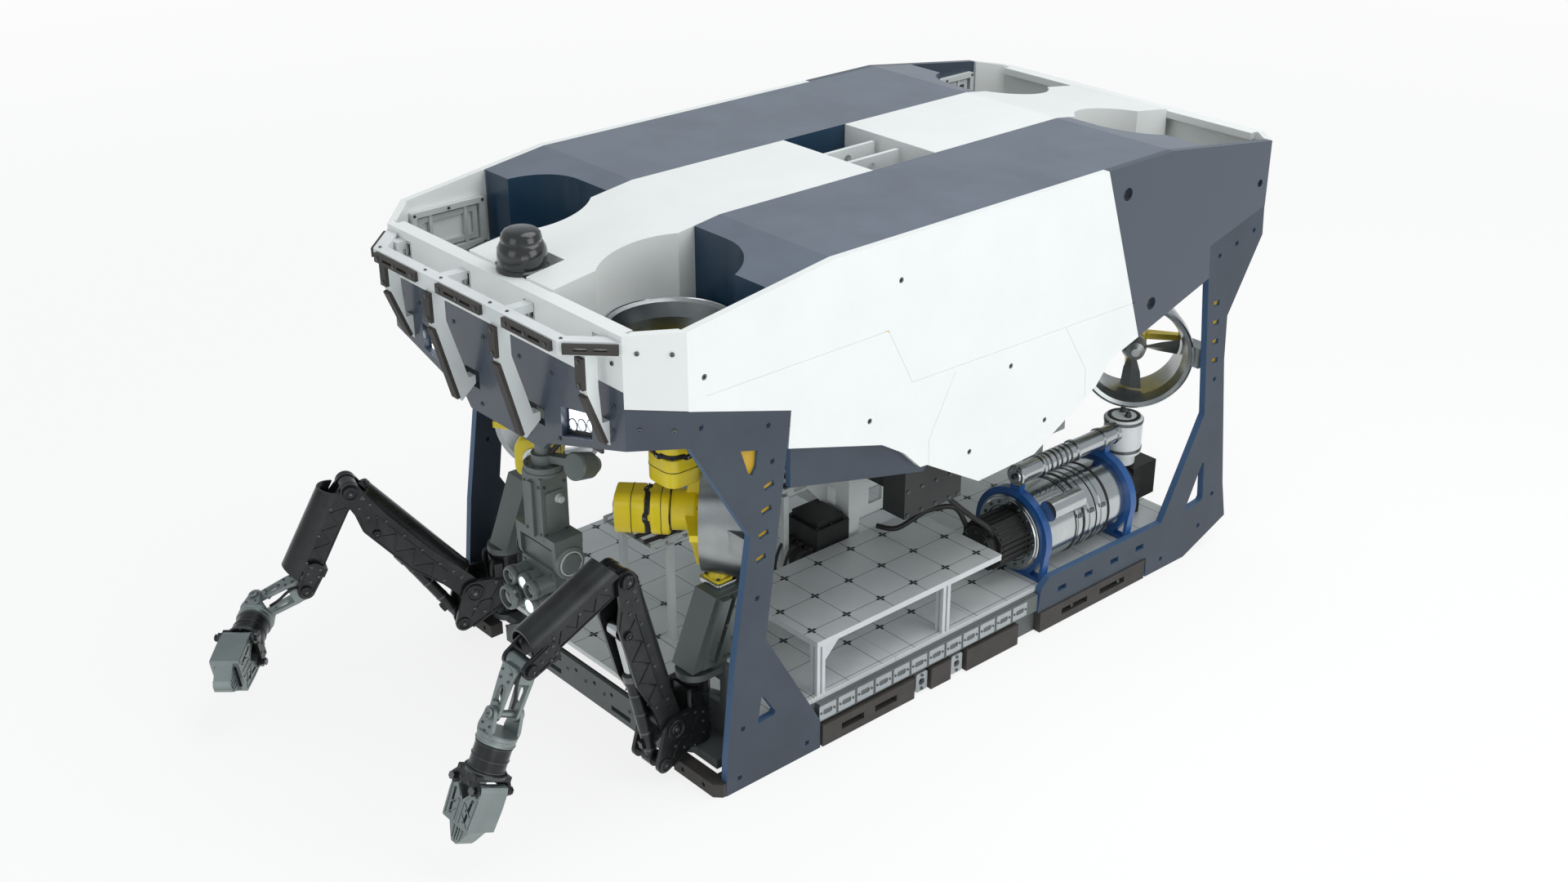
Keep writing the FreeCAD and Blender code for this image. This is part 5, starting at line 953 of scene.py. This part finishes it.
# Hard anodised casting: soft and rough, with hardly any gloss.
turret_paint = coated("grey_hard_anodise", "#727A78", "#656D6B", 1.0, (0.4, 0.55), 0.3, 0.12)
dress(turret_paint, "camera_mast", "camera_pan", "camera_tilt")

# Coated glass: near black, with a clear sharp gloss.
lens_glass = coated("lens_glass", "#16222C", "#101A22", 5.0, (0.03, 0.06), bump=0.0, coat=1.0)
cluster = bmesh.new()
for x, dz, radius, reach, lit in ((-66, -86, 34, 96, False), (6, -84, 30, 84, True), (64, -92, 34, 96, False),
                                  (-52, -162, 44, 120, False), (50, -164, 34, 90, True)):
    front = facing((x, -1490 - reach, 702 + dz), (0, -1, 0))
    turned(cluster, front, [(radius + 1, -40), (radius + 3, -39), (radius + 3, -4), (radius, 1), (radius - 7, 1),
                            (radius - 8, -11)], 32, 0)
    turned(cluster, front @ Matrix.Translation((0, 0, -12)),
           [(0, 7), (radius * 0.35, 6), (radius * 0.62, 3), (radius - 8, 0)], 28, 2 if lit else 1)
    for height in (-26, -18):
        turned(cluster, front @ Matrix.Translation((0, 0, height)),
               [(radius + 3, 0), (radius + 5, 1), (radius + 5, 3), (radius + 3, 4)], 32, 3)
for side in (1, -1):
    for z in (530, 655):
        screws(cluster, [facing((side * 84, -1498, z), (0, -1, 0))], 6, 3)
keep("camera_lenses", cluster, turret_paint, lens_glass, lamp_light, screw_steel,
     body="camera_tilt", slot="grey_metal")

# ---------------------------------------------------------------- Camera head
# The panning head above the cluster has a round bearing hub on each side with a pale ring, and cover plates
# held by screws.

head_trim = bmesh.new()
for side in (1, -1):
    hub = facing((side * 124, -1440, 702), (side, 0, 0))
    turned(head_trim, hub, [(0, 16), (38, 16), (42, 10), (56, 10), (62, 6), (64, 0)], 40, 0)
    turned(head_trim, hub, [(43, 10), (44, 14), (48, 14), (49, 10)], 40, 2)
    screws(head_trim, bolt_circle(hub, 42, 10, 6), 5, 1)
for z in (806, 1000):
    screws(head_trim, [facing((x, -1503, z), (0, -1, 0)) for x in (-44, 44)], 6, 1)
    screws(head_trim, [facing((58, y, z), (1, 0, 0)) for y in (-1489, -1401)], 6, 1)
for side in (1, -1):
    plate(head_trim, axes((side * 58, -1445, 900), (0, 1, 0), (0, 0, 1), (side, 0, 0)), rounded(84, 150, 14), 5, 1.5)
turned(head_trim, facing((63, -1430, 940), (1, 0, 0)), [(0, 22), (10, 22), (14, 17), (14, 5), (18, 0)], 20, 2)
keep("camera_head_trim", head_trim, turret_paint, screw_steel, white_bracket, body="camera_pan", slot="grey_metal")

# ---------------------------------------------------------------- Camera mast
# The fixed mast hangs from the nose. A collar and a ring of bolts hold the turret, and two rubber hoses
# run up its sides.

mast_trim = bmesh.new()
mast_at = facing((0, -1445, 1034), (0, 0, 1))
turned(mast_trim, mast_at, [(74, 4), (77, 6), (77, 14), (74, 16)], 40, 0)
screws(mast_trim, bolt_circle(mast_at, 62, 38, 10), 5, 1)
hose(mast_trim, [(30, -1430, 1110), (60, -1400, 1180), (40, -1420, 1260), (10, -1480, 1330)], 10, 10, 2)
hose(mast_trim, [(-34, -1440, 1090), (-60, -1420, 1160), (-44, -1440, 1250), (-20, -1500, 1320)], 8, 10, 2)
keep("camera_mast_trim", mast_trim, turret_paint, screw_steel, rubber, body="base", slot="grey_metal")

# ---------------------------------------------------------------- Manipulators
# Two seven-function arms. The links are machined from hard anodised aluminium with ribs and pin covers, the
# wrist and the jaws are bare blasted titanium, and hoses run along the links. Each trim piece is drawn at
# the arm's rest angles (slew, links from level, wrist yaw and turn, in degrees) and rides its own link.

# Black hard anodising: dark grey, with a broad metal sheen on the round covers.
arm_black = coated("black_hard_anodise", "#3A3C3D", "#2B2C2D", 0.8, (0.22, 0.36), 0.7, 0.08, cloud_mm=140)
# Blasted titanium: pale grey and evenly rough.
jaw_metal = coated("blasted_titanium", "#8E9796", "#7F8887", 0.7, (0.32, 0.48), 0.8, 0.12)
# Worn anodised edge: the metal shows through on rings and bands that rub.
edge_metal = coated("worn_anodised_edge", "#5B5E5F", "#474A4B", 0.6, (0.25, 0.4), 0.8, 0.06)
# Hose rubber: matt and near black.
hose_rubber = coated("hose_rubber", "#1D1E1F", "#161718", 0.9, (0.45, 0.6), bump=0.12)
for side in ("port", "starboard"):
    dress(arm_black, *[f"{side}_{n}" for n in ("shoulder", "upper_arm", "lift_barrel", "forearm", "gripper")])
    dress(polished, f"{side}_lift_rod")
    dress(jaw_metal, *[f"{side}_{n}" for n in ("wrist_yaw", "wrist_pitch", "jaw_a", "jaw_b")])


def upright(turn):
    """The turn of a link in its arm's plane, from level."""
    return Matrix.Rotation(-math.radians(turn), 4, "Y")


def along(frame_at, reach):
    """The same frame, moved along its own X."""
    return frame_at @ Matrix.Translation((reach, 0, 0))


def cap(shape, frame_at, radius, height, ring_skin=1):
    """A turned pin cover with a raised ring, and a small six-sided boss at its centre."""
    turned(shape, frame_at, [(0, height * 0.7), (radius * 0.42, height * 0.7), (radius * 0.5, height * 0.35),
                             (radius * 0.68, height * 0.35), (radius * 0.76, height), (radius * 0.94, height),
                             (radius, height * 0.6), (radius, 0)], 32)
    turned(shape, frame_at @ Matrix.Translation((0, 0, height * 0.7)),
           [(0, 3), (radius * 0.2, 3), (radius * 0.24, 0)], 6, ring_skin)


def ribs(shape, frame_at, points, width, height):
    """Raised ribs between listed pairs of points, on the face that the frame lies on."""
    for start, end in points:
        plate(shape, frame_at, bar(start, end, width), height, 1.0)


def spots_on(frame_at, places, height=0):
    """The frames of fasteners that stand at places on a face."""
    return [frame_at @ Matrix.Translation((x, y, height)) for x, y in places]


upper_reach, fore_reach, wrist_reach, jaw_pivot = 692, 442, 182, 252
for side, mount_x, slew, upper, fore, wrist, yaw, roll in (("port", 584, 0.0, 75.4, -24.3, -64.2, 0.0, 0.0),
                                                           ("starboard", -640, -20.0, 50.1, -61.8, -21.0, 62.0, 75.0)):
    mount = Matrix.Translation((mount_x, -1238, 228)) @ Matrix.Rotation(math.radians(slew - 90), 4, "Z")
    shoulder_at = along(mount, 150)
    upper_at = shoulder_at @ upright(upper)
    fore_at = along(upper_at, upper_reach) @ upright(fore - upper)
    link_at = along(fore_at, fore_reach) @ upright(wrist - fore)
    yoke_at = along(link_at, wrist_reach) @ Matrix.Rotation(math.radians(yaw), 4, "Z")
    grip_at = yoke_at @ Matrix.Rotation(math.radians(roll), 4, "X")
    cheek_faces = [(out, Matrix(((1, 0, 0, 0), (0, 0, out, 0), (0, 1, 0, 0), (0, 0, 0, 1)))) for out in (1, -1)]

    # Shoulder: two ribbed cheeks with the pitch pin and the cylinder's foot pin between them, on a slewing post
    # that is turned with four raised bands. Two hoses come up its front.
    bracket = bmesh.new()
    for out, face in cheek_faces:
        face_at = shoulder_at @ Matrix.Translation((0, out * 78.5, 0)) @ face
        cap(bracket, face_at, 40, 8)
        cap(bracket, face_at @ Matrix.Translation((54, -130, 0)), 27, 7)
        ribs(bracket, face_at, (((-118, 44), (-30, 48)), ((-120, -70), (20, -152)), ((-110, 30), (-70, -40)),
                                ((-70, -40), (-20, -46)), ((-20, -46), (20, -110)), ((-70, -40), (-60, -100))), 9, 4)
        screws(bracket, spots_on(face_at, ((-124, 20), (-124, -20), (-124, -70), (-88, 34), (-34, -92), (6, -70))),
               6, 1)
    for height in (-96, -40, 60, 116):
        turned(bracket, mount @ Matrix.Translation((0, 0, height)), [(52, 0), (56, 2), (56, 12), (52, 14)], 36)
    for bends in (((30, -30, 90), (56, -50, 120), (72, -62, 100), (70, -66, 40), (60, -60, -30)),
                  ((30, 30, 80), (58, 48, 108), (72, 60, 80), (70, 64, 30), (58, 58, -40))):
        hose(bracket, [mount @ Vector(bend) for bend in bends], 9, 10, 2)
    keep(f"{side}_shoulder_trim", bracket, arm_black, screw_steel, hose_rubber,
         body=f"{side}_shoulder", slot="arm_metal")

    # Upper arm: a long box link with zigzag ribs milled into both sides, caps on its elbow pin and on the pin of
    # the lift rod, worn half bands over its back, and three hoses along it.
    link = bmesh.new()
    for out, face in cheek_faces:
        face_at = upper_at @ Matrix.Translation((0, out * 61, 0)) @ face
        zigzag = [(168 + 52 * k, -14 if k % 2 else -74) for k in range(8)]
        ribs(link, face_at, list(zip(zigzag, zigzag[1:])), 6, 3)
        ribs(link, face_at, (((150, -6), (548, -6)), ((150, -58), (268, -84)), ((268, -84), (528, -84)),
                             ((528, -84), (592, -54))), 6, 3.4)
        cap(link, face_at @ Matrix.Translation((692, 0, 6)), 30, 8)
        cap(link, face_at @ Matrix.Translation((489, -60, 6)), 17, 5)
        screws(link, spots_on(face_at, ((132, 12), (132, -40), (600, 14), (636, 16), (620, -24), (566, -30), (200, 2),
                                        (300, 2), (400, 2), (500, 2))), 5.5, 1)
    for reach in (82, 640):
        band = bmesh.new()
        ends = [band.verts.new((x, 63.5, 6)) for x in (reach, reach + 10)]
        bmesh.ops.spin(band, geom=ends + [band.edges.new(ends)], cent=(0, 0, 6), axis=(1, 0, 0), angle=math.pi,
                       steps=20)
        join(link, band, upper_at, 3)
    for aside in (-22, 0, 22):
        hose(link, [upper_at @ Vector((reach, aside, height)) for reach, height in
                    ((112, 36), (150, 42), (260, 40), (430, 40), (560, 46), (652, 50))], 7, 8, 2)
    keep(f"{side}_upper_arm_trim", link, arm_black, screw_steel, hose_rubber, edge_metal,
         body=f"{side}_upper_arm", slot="arm_metal")

    # Forearm: a slimmer box under a round cover, ribbed like the upper arm, with the wrist's fork bolted on in
    # front and two hoses that dive through it.
    outer_link = bmesh.new()
    for out, face in cheek_faces:
        face_at = fore_at @ Matrix.Translation((0, out * 43, 0)) @ face
        zigzag = [(70 + 40 * k, 34 if k % 2 else -16) for k in range(7)]
        ribs(outer_link, face_at, list(zip(zigzag, zigzag[1:])), 5, 3)
        ribs(outer_link, face_at, (((52, -26), (318, -28)), ((60, 42), (318, 42))), 5, 3)
        cap(outer_link, face_at, 34, 3)
        wrist_face = fore_at @ Matrix.Translation((fore_reach, out * 64, 0)) @ face
        ribs(outer_link, wrist_face, (((-96, 30), (-6, 26)), ((-96, -30), (-6, -26))), 6, 3)
        screws(outer_link, spots_on(wrist_face, ((-104, 20), (-104, -16), (-74, 22), (-74, -22), (-44, 0))), 5.5, 1)
        cap(outer_link, wrist_face @ Matrix.Translation((0, 0, 8)), 22, 4)
        edge_at = fore_at @ Matrix.Translation((0, out * 62, 47))
        for reach in (70, 190, 310):
            screws(outer_link, [edge_at @ facing((reach + 13, out * 4, 0), (0, out, 0))], 5, 1)
    for aside in (-14, 14):
        hose(outer_link, [fore_at @ Vector((reach, aside, height)) for reach, height in
                          ((36, 8), (90, 62), (200, 72), (300, 62), (352, 30))], 8, 8, 2)
    keep(f"{side}_forearm_trim", outer_link, arm_black, screw_steel, hose_rubber,
         body=f"{side}_forearm", slot="arm_metal")

    # Wrist pitch link: two titanium side plates with a long window, screwed at both ends, and two thin hoses.
    wrist_link = bmesh.new()
    for out in (1, -1):
        face_at = link_at @ axes((0, 0, out * 47.6), (1, 0, 0), (0, 1, 0), (0, 0, out))
        screws(wrist_link, spots_on(face_at, ((60, 22), (60, -22), (84, 0), (32, 24), (32, -24), (140, 14),
                                              (140, -14))), 5, 1)
        ring_plate(wrist_link, face_at @ Matrix.Translation((112, 0, 0)), rounded(66, 40, 18),
                   rounded(56, 30, 14), 1.0)
        cap(wrist_link, face_at @ Matrix.Translation((182, 0, 18.6)), 20, 5)
    for out in (1, -1):
        hose(wrist_link, [link_at @ Vector(p) for p in ((20, out * 34, 20), (60, out * 42, 26), (110, out * 40, 10),
                                                        (150, out * 30, 0))], 6, 8, 2)
    keep(f"{side}_wrist_link_trim", wrist_link, jaw_metal, screw_steel, hose_rubber,
         body=f"{side}_wrist_pitch", slot="arm_silver")

    # Wrist yoke: a titanium fork that swings on the yaw pin and ends in the turned collar of the rotator.
    rim = [(math.cos(math.tau * k / 32), math.sin(math.tau * k / 32)) for k in range(32)]
    yoke = bmesh.new()
    for out in (1, -1):
        face_at = yoke_at @ axes((0, 0, out * 62), (1, 0, 0), (0, 1, 0), (0, 0, out))
        ring_plate(yoke, face_at, [(27 * x, 27 * y) for x, y in rim], [(17 * x, 17 * y) for x, y in rim], 2.0)
        screws(yoke, spots_on(face_at, ((40, 20), (40, -20), (62, 0))), 5, 1)
    turned(yoke, yoke_at @ Matrix.Rotation(math.pi / 2, 4, "Y"),
           [(64, 62), (70, 66), (70, 78), (66, 82), (66, 90), (70, 94), (70, 98), (64, 99.6)], 48)
    keep(f"{side}_yoke_trim", yoke, jaw_metal, screw_steel, body=f"{side}_wrist_yaw", slot="arm_silver")

    # Gripper body: a black anodised drum that turns without end, with worn bands, a ring of bolts at its front and
    # the nuts of the four jaw pins.
    housing = bmesh.new()
    turn_axis = grip_at @ Matrix.Rotation(math.pi / 2, 4, "Y")
    for reach in (104, 150, 188):
        turned(housing, turn_axis @ Matrix.Translation((0, 0, reach)), [(64, 0), (66.5, 1), (66.5, 4), (64, 5)], 48, 3)
    turned(housing, turn_axis @ Matrix.Translation((0, 0, 198)), [(72, 0), (75, 2), (75, 12), (72, 14)], 48, 3)
    screws(housing, bolt_circle(turn_axis, 66, 212, 10, 0.5), 5, 1)
    for out in (1, -1):
        for y in (59, -59):
            nut_at = grip_at @ axes((jaw_pivot, y, out * 82), (1, 0, 0), (0, 1, 0), (0, 0, out))
            turned(housing, nut_at, [(0, 6), (12, 6), (15, 3), (15, 0)], 6, 1)
        face_at = grip_at @ axes((0, 0, out * 72), (1, 0, 0), (0, 1, 0), (0, 0, out))
        screws(housing, spots_on(face_at, ((214, 44), (214, -44), (214, 0), (240, 24), (240, -24))), 5, 1)
    keep(f"{side}_gripper_trim", housing, arm_black, screw_steel, hose_rubber, edge_metal,
         body=f"{side}_gripper", slot="arm_metal")

    # Jaws: cast titanium fingers with ribs on both faces and teeth near the tip, each on its own pin.
    for name, out_y in (("a", 1), ("b", -1)):
        claw = bmesh.new()
        for out in (1, -1):
            face_at = grip_at @ axes((jaw_pivot, out_y * 59, out * 56), (1, 0, 0), (0, out_y, 0), (0, 0, out))
            ribs(claw, face_at, (((20, -14), (56, -44)), ((64, -46), (140, -46)), ((30, 14), (140, 8)),
                                 ((66, -40), (100, 4)), ((104, -40), (138, 2))), 5, 2.5)
            screws(claw, spots_on(face_at, ((44, -6), (84, -22), (124, -18), (22, 6))), 5, 1)
            inner_at = grip_at @ axes((jaw_pivot, out_y * 59, out * 34), (1, 0, 0), (0, out_y, 0), (0, 0, out))
            ribs(claw, inner_at, (((164, -34), (206, -40)), ((164, -52), (206, -52))), 6, 3)
        keep(f"{side}_jaw_{name}_trim", claw, jaw_metal, screw_steel, body=f"{side}_jaw_{name}", slot="arm_silver")

    # Lift cylinder: a black barrel between the shoulder's lower pin and the upper arm, with worn bands and the
    # gland nut that the polished rod slides through.
    rod_pin, rod_drop = 489, 60
    foot_at = shoulder_at @ Matrix.Translation((54, 0, -130))
    turn = math.radians(upper)
    head = Vector((rod_pin * math.cos(turn) + rod_drop * math.sin(turn) - 54, 0,
                   rod_pin * math.sin(turn) - rod_drop * math.cos(turn) + 130))
    barrel_at = foot_at @ upright(math.degrees(math.atan2(head.z, head.x))) @ Matrix.Rotation(math.pi / 2, 4, "Y")
    barrel = bmesh.new()
    for reach in (40, 120, 210, 300):
        turned(barrel, barrel_at @ Matrix.Translation((0, 0, reach)), [(24, 0), (25, 1), (25, 9), (24, 10)], 32, 3)
    turned(barrel, barrel_at @ Matrix.Translation((0, 0, 400)),
           [(28, -30), (28.6, -28), (28.6, -2), (24, 1), (18.4, 1)], 32, 1)
    keep(f"{side}_lift_barrel_trim", barrel, arm_black, screw_steel, hose_rubber, edge_metal,
         body=f"{side}_lift_barrel", slot="arm_metal")
